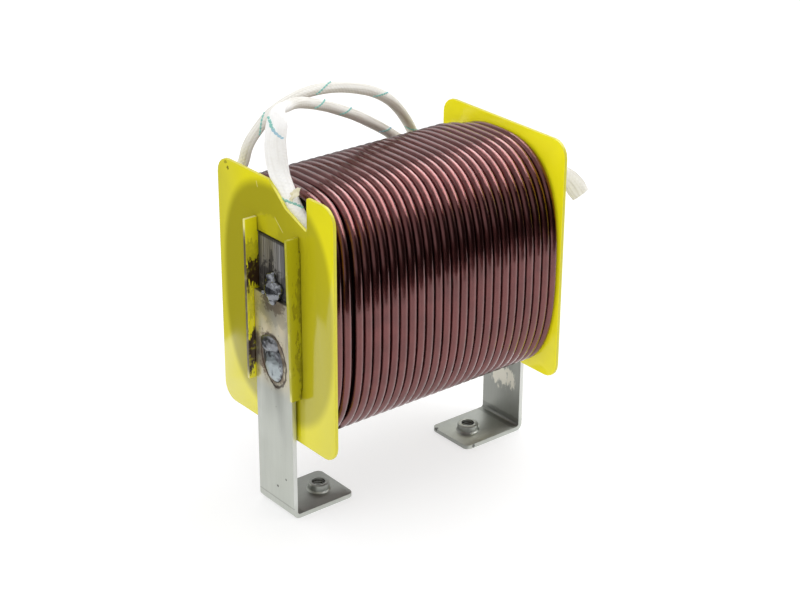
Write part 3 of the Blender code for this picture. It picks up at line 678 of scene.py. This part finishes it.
def sleeve_look(settings, name, run, soil, handled_from):
    """Braided glass sleeving: fine weave and grime streaks along it, with painted shade on its
    underside.
    """
    look = Look(name, settings.glass, Roughness=0.75, Sheen_Weight=0.15)
    uv = look.add("ShaderNodeUVMap", uv_map="UVMap").outputs[0]
    along, around, _ = look.axes(uv)
    travelled = look.times(along, run)
    streaks = look.noise(1.0, 3.0, 0.6, look.mapped(uv, Scale=(run * 60.0, 14.0, 1.0)))
    handled = look.spread(travelled, handled_from, handled_from + 12.0 * MM)
    look.paint(settings.greyed, handled)
    streaky = look.spread(handled, 0.0, 1.0, soil, 0.45, smooth=False)
    look.paint(settings.grime_and_shade, look.spread(streaks, 0.42, 0.68), streaky)
    # Painted shade: the sleeving darker where it faces down, in the grime colour and scaled like
    # the grime streaks
    underside_shade = look.facing((0.0, 0.0, -1.0), -0.15, 0.85)
    look.paint(settings.grime_and_shade, underside_shade, streaky, 1.3)
    leaning = look.times(around, BRAID_STRANDS)
    stepped = look.times(travelled, BRAID_STEPS_PER_METRE)
    waves = [
        look.calc("SINE", look.times(look.calc(way, stepped, leaning), math.pi))
        for way in ("ADD", "SUBTRACT")
    ]
    height = look.calc("ADD", look.calc("ADD", *waves), look.times(streaks, 3.0))
    return look.finish(Normal=look.bump(height, 0.04 * MM, 0.6))


def tracer_look(settings):
    look = Look("tracer_yarn", settings.tracer, Roughness=0.8)
    look.paint(settings.tracer_blue, look.cloud(160.0, 0.56, 0.68, detail=1.0))
    return look.finish(Normal=look.bump(look.noise(2500.0, 1.0), 0.04 * MM, 0.7))


def scrap_look():
    look = Look("scrap_paper", (0.88, 0.84, 0.68, 1.0), Roughness=0.8)
    fibres = look.noise(700.0, 4.0, 0.7)
    look.paint((0.70, 0.64, 0.42, 1.0), fibres)
    return look.finish(Normal=look.bump(fibres, 0.1 * MM, 0.6))


def welded_on(look, settings, side):
    """Brown and sooty rings and spots where the welds burnt the strip."""
    face_x = -side * STRIP_FACE_X / MM
    middle_y = STRIP_Y / MM
    for y_off, z, wide, tall, ragged, strength, burnt in (
        (0.2, 53.8, 7.2, 9.6, 0.22, 0.75, settings.scorched),
        (6.4, 55.5, 3.4, 7.5, 0.45, 0.55, settings.scorched),
        (-0.6, 74.5, 6.6, 4.6, 0.35, 0.60, settings.scorched),
        (0.6, 70.0, 9.5, 4.0, 0.40, 0.22, settings.soot),
    ):
        spot = look.patch(
            (face_x, middle_y - side * y_off, z), (1.2, wide, tall), ragged, 320.0)
        look.paint(burnt, spot, strength)
    for place_mm, size_mm in (
        ((-49.3, -2.0, 8.7), 0.55), ((-49.3, -6.6, 13.0), 0.42),
        ((24.2, 5.9, 1.3), 0.75), ((27.0, -10.6, 0.9), 0.75),
    ):
        nick = look.patch(place_mm, [size_mm] * 3, 0.3, 900.0)
        look.paint((0.06, 0.055, 0.05, 1.0), nick, 0.85)
    from_plug = look.near((face_x, middle_y + side * 0.3, 53.9), PLUG_RADII_MM, PLUG_LEAN)
    uneven = look.cloud(260.0, 0.3, 0.7, -0.05, 0.05)
    rim = look.spread(look.away(look.calc("ADD", from_plug, uneven), 1.10), 0.09, 0.03)
    look.paint((0.045, 0.028, 0.02, 1.0), rim, 0.80)


def shade_inside(look, settings, side):
    """Paint the sheared edge lighter, partly as a painted highlight; paint shade on the upper and
    inner sides and in the bend's inner corner.
    """
    # The sheared edges lighter on faces towards -Y and more so higher up: partly their own colour,
    # partly painted highlight
    edge_highlight = look.spread(look.axes()[2], 2.0 * MM, 7.0 * MM, 0.08, 0.5)
    look.paint(settings.sheared, look.facing((0.0, -1.0, 0.0), 0.4, 0.8), edge_highlight)
    # Painted shade on faces turned inwards and up
    inner = look.facing((-side, 0.0, 1.0), 0.3, 0.8)
    upper = look.facing((0.0, 0.0, 1.0), 0.6, 0.9)
    shade_share = look.spread(upper, 0.0, 1.0, 0.48, 0.58 if side < 0 else 0.22, smooth=False)
    look.paint(settings.inner_shade, inner, shade_share)
    # Painted shade in the inner corner of the bend
    corner_mm = (-side * (STRIP_FACE_X / MM + 2.3), STRIP_Y / MM, 2.3)
    corner_shade = look.patch(corner_mm, (2.3, 60.0, 2.3), 0.1)
    look.paint((0.05, 0.05, 0.045, 1.0), corner_shade, inner, 0.3)


def strip_look(settings, name, side):
    """Satin rolled steel: heat tint above, burnt rims round the welds, pits and nicks, and painted
    shade on its upper and inner sides.
    """
    look = Look(name, settings.strip, Metallic=1.0, Roughness=0.46)
    x, _, z = look.axes()
    rolled = look.noise(1.0, 3.0, 0.6, look.mapped(Scale=(400.0, 900.0, 60.0)))
    look.paint(dimmed(settings.strip, 0.80), look.spread(rolled, 0.3, 0.7, 0.0, 0.22))
    look.paint(
        settings.heat_tint, look.spread(z, 41.0 * MM, 50.0 * MM),
        look.cloud(120.0, 0.3, 0.7, 0.45, 0.95))
    welded_on(look, settings, side)
    shade_inside(look, settings, side)
    if side > 0:
        drip = look.mapped(Scale=(200.0, 330.0, 110.0))
        rubbed = look.patch((47.8, -1.6, 18.4), (1.0, 5.4, 4.4), 0.55, 1.0, drip)
        look.paint((0.84, 0.81, 0.70, 1.0), rubbed, 0.72)
    pit = look.cloud(330.0, 0.77, 0.80, detail=1.0)
    look.paint((0.14, 0.13, 0.11, 1.0), pit, 0.7)
    outside = look.spread(look.away(x), 48.9 * MM, 49.2 * MM)
    line = look.spread(look.away(z, 3.9 * MM), 0.30 * MM, 0.08 * MM)
    bend = look.times(outside, line)
    look.paint((0.20, 0.20, 0.18, 1.0), bend, 0.4)
    surface = look.bump(rolled, 0.02 * MM, 0.4)
    surface = look.bump(bend, -0.08 * MM, 0.6, surface)
    return look.finish(
        Roughness=look.cloud(60.0, 0.3, 0.7, 0.40, 0.52, 2.0),
        Normal=look.bump(pit, -0.06 * MM, 0.7, surface))


def thread_look():
    look = Look("tapped_thread", (0.05, 0.048, 0.045, 1.0), Metallic=1.0, Roughness=0.45)
    look.paint((0.20, 0.195, 0.18, 1.0), look.noise(900.0, 2.0))
    return look.finish()


def weld_look(settings, name, roughness, clean=None):
    """Bright solidified metal, dark in its hollows and where soot settled."""
    look = Look(name, settings.bead, Metallic=1.0, Roughness=roughness)
    hollow = look.add("ShaderNodeAttribute", attribute_name="hollow").outputs["Fac"]
    grain = look.noise(900.0, 4.0, 0.7)
    look.paint(dimmed(settings.bead, 0.6), look.spread(grain, 0.35, 0.75, 0.0, 0.3))
    look.paint(settings.soot, look.spread(hollow, 0.35, 0.95, 0.0, 0.85))
    sockets = {"Normal": look.bump(grain, 0.07 * MM, 0.5)}
    if clean:
        nugget = look.patch(*clean, 0.42, 420.0, lean=PLUG_LEAN)
        look.paint(settings.weld, nugget)
        sockets["Roughness"] = look.spread(nugget, 0.0, 1.0, roughness, 0.42, smooth=False)
    return look.finish(**sockets)


def core_look(settings):
    """Sheared sheet edges in soft bands, sooty beside the welds, with painted shade along the top
    edge.
    """
    look = Look("core_sheet_edges", settings.sheet, Metallic=0.25, Roughness=0.42)
    _, y, z = look.axes()
    sheet = look.calc("FLOOR", look.times(y, 1.0 / (0.5 * MM)))
    each = look.add("ShaderNodeTexWhiteNoise", {"W": sheet}, noise_dimensions="1D").outputs[0]
    band = look.noise(1.0, 1.0, 0.4, look.mapped(Scale=(1.0, 560.0, 9.0)))
    darker = dimmed(settings.sheet, 0.35)
    look.paint(darker, look.spread(band, 0.38, 0.60))
    look.paint(darker, each, 0.25)
    toward_left = look.spread(y, -5.0 * MM, 2.0 * MM, 0.0, 0.75)
    look.paint(settings.sheet_brown, toward_left)
    # Darker, almost black, towards the left side board's edge
    far_left = look.spread(y, 5.8 * MM, 7.8 * MM, 0.0, 0.8)
    look.paint(settings.soot, far_left)
    for y_mm, z_mm, wide, tall, strength in (
        (3.0, 79.5, 6.0, 6.5, 0.85), (-3.0, 79.5, 4.5, 4.5, 0.5), (1.2, 87.5, 1.0, 3.2, 0.75)
    ):
        soot = look.patch((0.0, y_mm, z_mm), (1000.0, wide, tall), 0.45)
        look.paint(settings.soot, soot, strength)
    # Painted shade: a dark line along the core's top edge, in the soot colour
    top = look.spread(z, CORE_TOP - 0.9 * MM, CORE_TOP - 0.4 * MM)
    look.paint(settings.soot, top, 0.8)
    height = look.calc("SUBTRACT", each, band)
    return look.finish(Normal=look.bump(height, 0.06 * MM, 0.5))


def melted(lobes_mm):
    """Overlapping balls, melted into one lump."""
    shape = bmesh.new()
    for centre, radii, lean in lobes_mm:
        ball = bmesh.ops.create_uvsphere(
            shape, u_segments=28, v_segments=18, radius=1.0)["verts"]
        bmesh.ops.scale(shape, vec=Vector(radii) * MM, verts=ball)
        turn = Matrix.Rotation(math.radians(lean), 3, "X")
        bmesh.ops.rotate(shape, cent=(0, 0, 0), matrix=turn, verts=ball)
        bmesh.ops.translate(shape, vec=Vector(centre) * MM, verts=ball)
    holder = linked("lump", mesh_of(shape, "lump"))
    melt = holder.modifiers.new("melt", "REMESH")
    melt.mode = "VOXEL"
    melt.voxel_size = MELT_VOXEL
    flow = holder.modifiers.new("flow", "SMOOTH")
    flow.factor = 0.6
    flow.iterations = 8
    return evaluated_mesh(holder)


def sculpted(lobes_mm, end, crater=None):
    """A lump of weld metal with a lumpy, pebbly skin and its hollows marked."""
    result = melted(lobes_mm)
    hollow = result.attributes.new("hollow", "FLOAT", "POINT")
    skin = [(vert.co.copy(), vert.normal.copy()) for vert in result.vertices]
    for index, (place, normal) in enumerate(skin):
        lump = noise.noise(place * 420.0)
        pebble = noise.noise(place * 1300.0)
        height = (0.16 * lump + 0.06 * pebble) * MM
        deep = max(0.0, -lump * 1.6)
        if crater:
            off = place / MM - Vector(crater[0])
            away = Vector([part / radius for part, radius in zip(off, crater[1])]).length
            dip = max(0.0, 1.0 - away * away)
            height -= crater[2] * MM * dip
            deep += 0.5 * dip
        result.vertices[index].co = place + normal * height
        hollow.data[index].value = deep
    if end == "rear":
        for vert in result.vertices:
            vert.co = Vector((-vert.co.x, 2 * STRIP_Y - vert.co.y, vert.co.z))
    return result


def thread_coil(shape, hole_x):
    """The crests of the tapped thread, as one helix inside the foot's collar."""
    bottom = STRIP_THICKNESS / 2
    turns = (THREAD_TOP - bottom) / THREAD_PITCH
    points = []
    for step in range(int(turns * THREAD_STEPS) + 1):
        angle = 2.0 * math.pi * step / THREAD_STEPS
        z = bottom + THREAD_PITCH * step / THREAD_STEPS - 0.2 * MM
        x = hole_x + THREAD_RADIUS * math.cos(angle)
        points.append((x, STRIP_Y + THREAD_RADIUS * math.sin(angle), z))
    add_tube(shape, points, 0.46 * MM, 1, 1)


class REACTOR_OT_dress_boards(bpy.types.Operator):
    """Give the flanges and the boards round the core their glass-board finish"""

    bl_idname = "reactor.dress_boards"
    bl_label = "Boards"

    def execute(self, context):
        settings = context.scene.reactor_boards
        flange_edge = cut_edge_look(settings, "flange_edge", settings.cut)
        head_edge = cut_edge_look(settings, "head_edge", settings.head_cut)
        soiled_edge = cut_edge_look(
            settings, "soiled_edge", settings.head_cut, settings.soiled_cut, 95.0)
        # The right side board's edge takes painted shade up to a height, in the shaded board
        # colour
        shaded_edge = cut_edge_look(
            settings, "shaded_edge", settings.head_cut, settings.shaded, 102.0)
        left_burns = [
            ((STRIP_FACE_X / MM, 8.6, z), (60.0, 30.0, tall), strength)
            for z, tall, strength in (
                (80.4, 4.2, 1.0), (55.0, 8.2, 1.25), (70.0, 9.0, 0.35), (87.0, 5.0, 0.40))
        ]
        right_burns = [
            ((-INNER_FACE_X / MM, -12.6, z), (deep, 60.0, tall), strength)
            for z, deep, tall, strength in ((77.0, 3.4, 13.0, 0.50), (55.0, 3.2, 9.0, 0.45))
        ]
        front = board_look(settings, "front_board", settings.clear, outward=-1)
        # The rear board: a painted lit copy of the board with a faint painted glow, for light
        # coming through it
        rear = board_look(settings, "rear_board", settings.lit, outward=1, glow=0.10)
        left = board_look(settings, "left_board", settings.clear, scorches=left_burns)
        right = board_look(settings, "right_board", settings.shaded, scorches=right_burns)
        for node, face, edge, axis in (
            ("front_flange", front, flange_edge, 0),
            ("rear_flange", rear, flange_edge, 0),
            ("left_side_board", left, soiled_edge, 1),
            ("right_side_board", right, shaded_edge, 1),
            ("top_board", board_look(settings, "lining_board", settings.clear), head_edge, 2),
            ("bottom_board", board_look(settings, "under_board", settings.clear), head_edge, 2),
        ):
            shape = welded(node)
            for side in shape.faces:
                side.material_index = 0 if abs(side.normal[axis]) > 0.5 else 1
            break_edges(shape, settings.edge_break)
            name = node + "_board"
            piece = finished(name, mesh_of(shape, name), (face, edge))
            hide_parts(node)
        return {"FINISHED"}


class REACTOR_OT_wind_coil(bpy.types.Operator):
    """Wind the outer layer as one smooth wire over the inner layers"""

    bl_idname = "reactor.wind_coil"
    bl_label = "Coil"

    def execute(self, context):
        settings = context.scene.reactor_wire
        route = winding_route(settings.points_per_turn)
        look = wire_look(settings, distances(route)[-1])
        mesh = tube_mesh("wound_wire", route, settings.diameter, 5)
        piece = finished("wound_wire", mesh, (look,))
        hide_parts("outer_winding")
        refinish("inner_winding", inner_layers_look())
        return {"FINISHED"}


class REACTOR_OT_fit_leads(bpy.types.Operator):
    """Lay the sleeved leads along their routes and press them flat where they are squeezed"""

    bl_idname = "reactor.fit_leads"
    bl_label = "Leads"

    def execute(self, context):
        settings = context.scene.reactor_sleeves
        tracer = tracer_look(settings)
        for name, route, flats, marks, soil, handled_from in (
            ("start_sleeve", START_ROUTE_MM, START_FLATS, START_TRACER_MM, 0.12, 46.0 * MM),
            ("finish_sleeve", FINISH_ROUTE_MM, FINISH_FLATS, FINISH_TRACER_MM, 0.34, 0.0),
        ):
            points = smooth_route(route, 1.0 * MM)
            run = float(distances(points)[-1])
            braid = sleeve_look(settings, name + "_braid", run, soil, handled_from)
            mesh = self.sleeve_mesh(name, points, flats, marks, settings)
            piece = finished(name, mesh, (braid, tracer), 60.0)
            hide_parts(name.replace("_sleeve", "_lead"))
        self.add_scrap()
        return {"FINISHED"}

    def sleeve_mesh(self, name, points, flats, marks, settings):
        shape = bmesh.new()
        add_tube(shape, points, settings.diameter, 4, 0)
        self.open_far_end(shape, points, settings.diameter)
        for mark in marks:
            yarn = self.yarn_route(points, mark, settings)
            add_tube(shape, yarn, settings.tracer_radius * 2, 1, 1)
        mesh = mesh_of(shape, name)
        self.press(mesh, points, flats, settings.diameter)
        return mesh

    def open_far_end(self, shape, points, diameter):
        """Turn the far end's cap into the sleeving's hollow mouth."""
        far = Vector(points[-1])
        inward = (Vector(points[-2]) - far).normalized()
        caps = [
            face for face in shape.faces
            if len(face.verts) > 4 and (face.calc_center_median() - far).length < diameter / 2
        ]
        for cap in caps:
            bmesh.ops.inset_individual(shape, faces=[cap], thickness=SLEEVE_WALL)
            deeper = bmesh.ops.extrude_discrete_faces(shape, faces=[cap])
            verts = [vert for face in deeper["faces"] for vert in face.verts]
            bmesh.ops.translate(shape, vec=inward * MOUTH_DEPTH, verts=verts)

    def yarn_route(self, points, mark, settings):
        """A part turn of the tracer yarn over the sleeving, dipping in and out of the braid."""
        route = []
        for turn in np.linspace(-YARN_TURN, YARN_TURN, 30):
            place = min(max(mark + turn * settings.tracer_pitch / MM, 0.0), len(points) - 1.01)
            index = int(place)
            before = Vector(points[index])
            after = Vector(points[index + 1])
            tangent = (after - before).normalized()
            seen = (SEEN_SIDE - tangent * SEEN_SIDE.dot(tangent)).normalized()
            angle = 2.0 * math.pi * turn
            out = seen * math.cos(angle) + seen.cross(tangent) * math.sin(angle)
            lift = settings.diameter / 2 + YARN_WAVE * math.cos(angle * YARN_DIPS) - YARN_SUNK
            route.append(before.lerp(after, place - index) + out * lift)
        return route

    def press(self, mesh, points, flats, diameter):
        """Flatten the tube's rings by the flats' widths, thicknesses and ways."""
        travelled = distances(points)
        shares = travelled / travelled[-1]
        tangents = np.gradient(points, axis=0)
        tangents /= np.linalg.norm(tangents, axis=1)[:, None]
        stations, sizes, ways = zip(*flats)
        widths, depths = (np.interp(shares, stations, size) * MM for size in zip(*sizes))
        ways = np.stack([np.interp(shares, stations, way) for way in zip(*ways)], axis=1)
        ways -= tangents * np.sum(ways * tangents, axis=1)[:, None]
        ways /= np.linalg.norm(ways, axis=1)[:, None]
        other = np.cross(tangents, ways)
        places = np.array([vert.co for vert in mesh.vertices])
        for index, place in enumerate(places):
            ring = int(np.argmin(np.sum((points - place) ** 2, axis=1)))
            from_line = place - points[ring]
            wide = np.dot(from_line, ways[ring]) * (widths[ring] / diameter)
            deep = np.dot(from_line, other[ring]) * (depths[ring] / diameter)
            along = np.dot(from_line, tangents[ring])
            mesh.vertices[index].co = (
                points[ring] + ways[ring] * wide + other[ring] * deep + tangents[ring] * along)

    def add_scrap(self):
        """A crumpled scrap of paper caught beside the start lead in the slot."""
        shape = bmesh.new()
        bmesh.ops.create_grid(shape, x_segments=14, y_segments=20, size=0.5)
        uphill = Vector((0.10, -0.74, 0.66)) * 6.4 * MM
        across = Vector((0.45, 0.50, 0.74)) * 3.0 * MM
        out = uphill.cross(across).normalized()
        middle = Vector((-43.6, -5.6, 109.4)) * MM
        for vert in shape.verts:
            u, v, _ = vert.co
            ragged = 1.0 + 0.30 * noise.noise(Vector((u * 4.0, v * 5.0, 2.0)))
            fold = 0.5 * noise.noise(Vector((u * 2.2, v * 3.4, 7.0)))
            vert.co = middle + uphill * v * ragged + across * u * ragged + out * fold * 2.0 * MM
        mesh = mesh_of(shape, "scrap_paper")
        piece = finished("scrap_paper", mesh, (scrap_look(),))
        piece.modifiers.new("sheet", "SOLIDIFY").thickness = 0.18 * MM


class REACTOR_OT_finish_feet(bpy.types.Operator):
    """Break the strips' edges and give them their rolled, heat-tinted finish"""

    bl_idname = "reactor.finish_feet"
    bl_label = "Feet"

    def execute(self, context):
        settings = context.scene.reactor_metal
        for end, side in (("front", -1), ("rear", 1)):
            shape = welded(end + "_bracket")
            break_edges(shape, settings.edge_break)
            thread_coil(shape, side * HOLE_X)
            looks = (strip_look(settings, end + "_strip_steel", side), thread_look())
            name = end + "_foot"
            piece = finished(name, mesh_of(shape, name), looks)
            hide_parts(end + "_bracket")
        return {"FINISHED"}


class REACTOR_OT_finish_welds(bpy.types.Operator):
    """Give the welds and the core's end faces their bright and sooty metal"""

    bl_idname = "reactor.finish_welds"
    bl_label = "Core and welds"

    def execute(self, context):
        settings = context.scene.reactor_metal
        for end, side in (("front", -1), ("rear", 1)):
            clean = ((side * 50.0, STRIP_Y / MM + side * 0.7, 51.7), (6.0, 4.3, 5.9))
            plug_look = weld_look(settings, end + "_plug_metal", 0.30, clean)
            bead_look = weld_look(settings, end + "_bead_metal", 0.24)
            for node, lobes, crater, look in (
                (end + "_plug_weld", PLUG_LOBES_MM, PLUG_CRATER_MM, plug_look),
                (end + "_top_weld", BEAD_LOBES_MM, None, bead_look),
            ):
                mesh = sculpted(lobes, end, crater)
                name = node.replace("_weld", "_lump")
                piece = finished(name, mesh, (look,), 80.0)
                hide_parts(node)
        refinish("core_stack", core_look(settings))
        return {"FINISHED"}


class REACTOR_OT_set_stage(bpy.types.Operator):
    """Set the camera, the pale floor and the soft lights"""

    bl_idname = "reactor.set_stage"
    bl_label = "Stage"

    def execute(self, context):
        settings = context.scene.reactor_stage
        self.add_camera(context, settings)
        self.add_floor(settings)
        self.add_lights(settings)
        self.add_world(context, settings)
        context.scene.view_settings.view_transform = "Standard"
        return {"FINISHED"}

    def add_camera(self, context, settings):
        lens = bpy.data.cameras.new("photo_view")
        lens.lens = settings.lens
        lens.sensor_width = 36.0
        lens.clip_start = 0.01
        camera = linked("photo_view", lens)
        rows = zip(CAMERA_RIGHT, CAMERA_UP, CAMERA_BACK, CAMERA_PLACE)
        camera.matrix_world = Matrix((*rows, (0.0, 0.0, 0.0, 1.0)))
        context.scene.camera = camera

    def add_floor(self, settings):
        """A lit oval under the part, and the wide floor round it, not seen in reflections."""
        look = Look(
            "studio_floor", settings.floor, Roughness=0.8, Emission_Color=(1.0, 1.0, 1.0, 1.0),
            Emission_Strength=settings.floor_glow)
        look.paint((0.44, 0.44, 0.44, 1.0), look.cloud(3.0, 0.0, 1.0, 0.0, 0.04, 2.0))
        paper = look.finish()
        near = (settings.near_floor, settings.near_depth, 1.0)
        for name, far in (("floor", False), ("far_floor", True)):
            shape = bmesh.new()
            rim = bmesh.ops.create_circle(shape, cap_ends=not far, segments=96, radius=1.0)
            bmesh.ops.scale(shape, vec=near, verts=rim["verts"])
            if far:
                bmesh.ops.create_circle(shape, cap_ends=False, segments=96, radius=12.0)
                bmesh.ops.bridge_loops(shape, edges=shape.edges)
            bmesh.ops.translate(shape, vec=(0.0, -0.06, 0.0), verts=shape.verts)
            bmesh.ops.recalc_face_normals(shape, faces=shape.faces)
            for face in shape.faces:
                if face.normal.z < 0:
                    face.normal_flip()
            mesh = mesh_of(shape, name)
            mesh.materials.append(paper)
            floor = linked(name, mesh)
            floor.visible_glossy = not far

    def add_lights(self, settings):
        """A key for matt surfaces, a softbox for glossy ones, and three fills."""
        target = Vector((0.0, 0.0, 75.0 * MM))
        for name, azimuth, elevation, distance, size, power in (
            ("key", 74.0, 54.0, 1.0, (1.0, 0.62), settings.key_power),
            ("softbox", 85.0, 52.0, 1.0, (1.42, 0.82), settings.softbox_power),
            ("overhead", 0.0, 89.0, 1.3, (0.9, 0.9), settings.fill_power),
            ("back_fill", 150.0, 35.0, 1.4, (0.9, 0.7), settings.fill_power),
            ("left_fill", -110.0, 35.0, 1.4, (0.9, 0.7), settings.fill_power),
        ):
            light = bpy.data.lights.new(name, "AREA")
            light.shape = "RECTANGLE"
            light.size, light.size_y = size
            light.energy = power
            lamp = linked(name, light)
            way = self.heading(azimuth, elevation)
            lamp.location = target + way * distance
            lamp.rotation_mode = "QUATERNION"
            lamp.rotation_quaternion = (-way).to_track_quat("-Z", "Y")
            lamp.visible_glossy = name != "key"
            lamp.visible_diffuse = name != "softbox"

    def heading(self, azimuth, elevation):
        a, e = math.radians(azimuth), math.radians(elevation)
        return Vector((math.sin(a) * math.cos(e), -math.cos(a) * math.cos(e), math.sin(e)))

    def add_world(self, context, settings):
        """White for the camera, soft light all round, a room with a dark side in reflections."""
        world = bpy.data.worlds.new("studio")
        world.use_nodes = True
        world.node_tree.nodes.clear()
        room = Nodes(world.node_tree)
        way = room.add("ShaderNodeTexCoord").outputs["Generated"]
        height = room.add("ShaderNodeSeparateXYZ", {0: way}).outputs[2]
        above = room.spread(height, 0.0, 0.05, 0.05, settings.surround)
        toward_dark = room.dot(way, self.heading(20.0, 8.0))
        walls = room.times(above, room.spread(toward_dark, 0.72, 0.82, 1.0, settings.dark_side))
        path = room.add("ShaderNodeLightPath")
        seen = self.glow(room, settings.ambient)
        for ray, strength in (("Is Glossy Ray", walls), ("Is Camera Ray", 1.0)):
            shaders = {0: path.outputs[ray], 1: seen, 2: self.glow(room, strength)}
            seen = room.add("ShaderNodeMixShader", shaders).outputs[0]
        room.add("ShaderNodeOutputWorld", {0: seen})
        context.scene.world = world

    def glow(self, room, strength):
        values = {"Color": (1.0, 1.0, 1.0, 1.0), "Strength": strength}
        return room.add("ShaderNodeBackground", values).outputs[0]


class REACTOR_PT_panel(bpy.types.Panel):
    """Lists the pieces of the reactor's looks"""

    bl_idname = "REACTOR_PT_panel"
    bl_label = "Single-coil reactor"
    bl_space_type = "VIEW_3D"
    bl_region_type = "UI"
    bl_category = "Reactor"

    def draw(self, context):
        for operator in OPERATORS:
            self.layout.operator(operator.bl_idname)
        for group in SETTINGS:
            values = getattr(context.scene, group)
            box = self.layout.box()
            for name in values.bl_rna.properties.keys():
                if name not in ("rna_type", "name"):
                    box.prop(values, name)


SETTINGS = {
    "reactor_boards": BoardSettings,
    "reactor_wire": WireSettings,
    "reactor_sleeves": SleeveSettings,
    "reactor_metal": MetalSettings,
    "reactor_stage": StageSettings,
}
OPERATORS = (
    REACTOR_OT_dress_boards,
    REACTOR_OT_wind_coil,
    REACTOR_OT_fit_leads,
    REACTOR_OT_finish_feet,
    REACTOR_OT_finish_welds,
    REACTOR_OT_set_stage,
)


def register():
    for group in SETTINGS.values():
        bpy.utils.register_class(group)
    for name, group in SETTINGS.items():
        setattr(bpy.types.Scene, name, PointerProperty(type=group))
    for operator in OPERATORS:
        bpy.utils.register_class(operator)
    bpy.utils.register_class(REACTOR_PT_panel)


def unregister():
    bpy.utils.unregister_class(REACTOR_PT_panel)
    for operator in reversed(OPERATORS):
        bpy.utils.unregister_class(operator)
    for name in SETTINGS:
        delattr(bpy.types.Scene, name)
    for group in reversed(SETTINGS.values()):
        bpy.utils.unregister_class(group)


def main():
    register()
    bpy.ops.reactor.dress_boards()
    bpy.ops.reactor.wind_coil()
    bpy.ops.reactor.fit_leads()
    bpy.ops.reactor.finish_feet()
    bpy.ops.reactor.finish_welds()
    bpy.ops.reactor.set_stage()


if __name__ == "__main__":
    main()
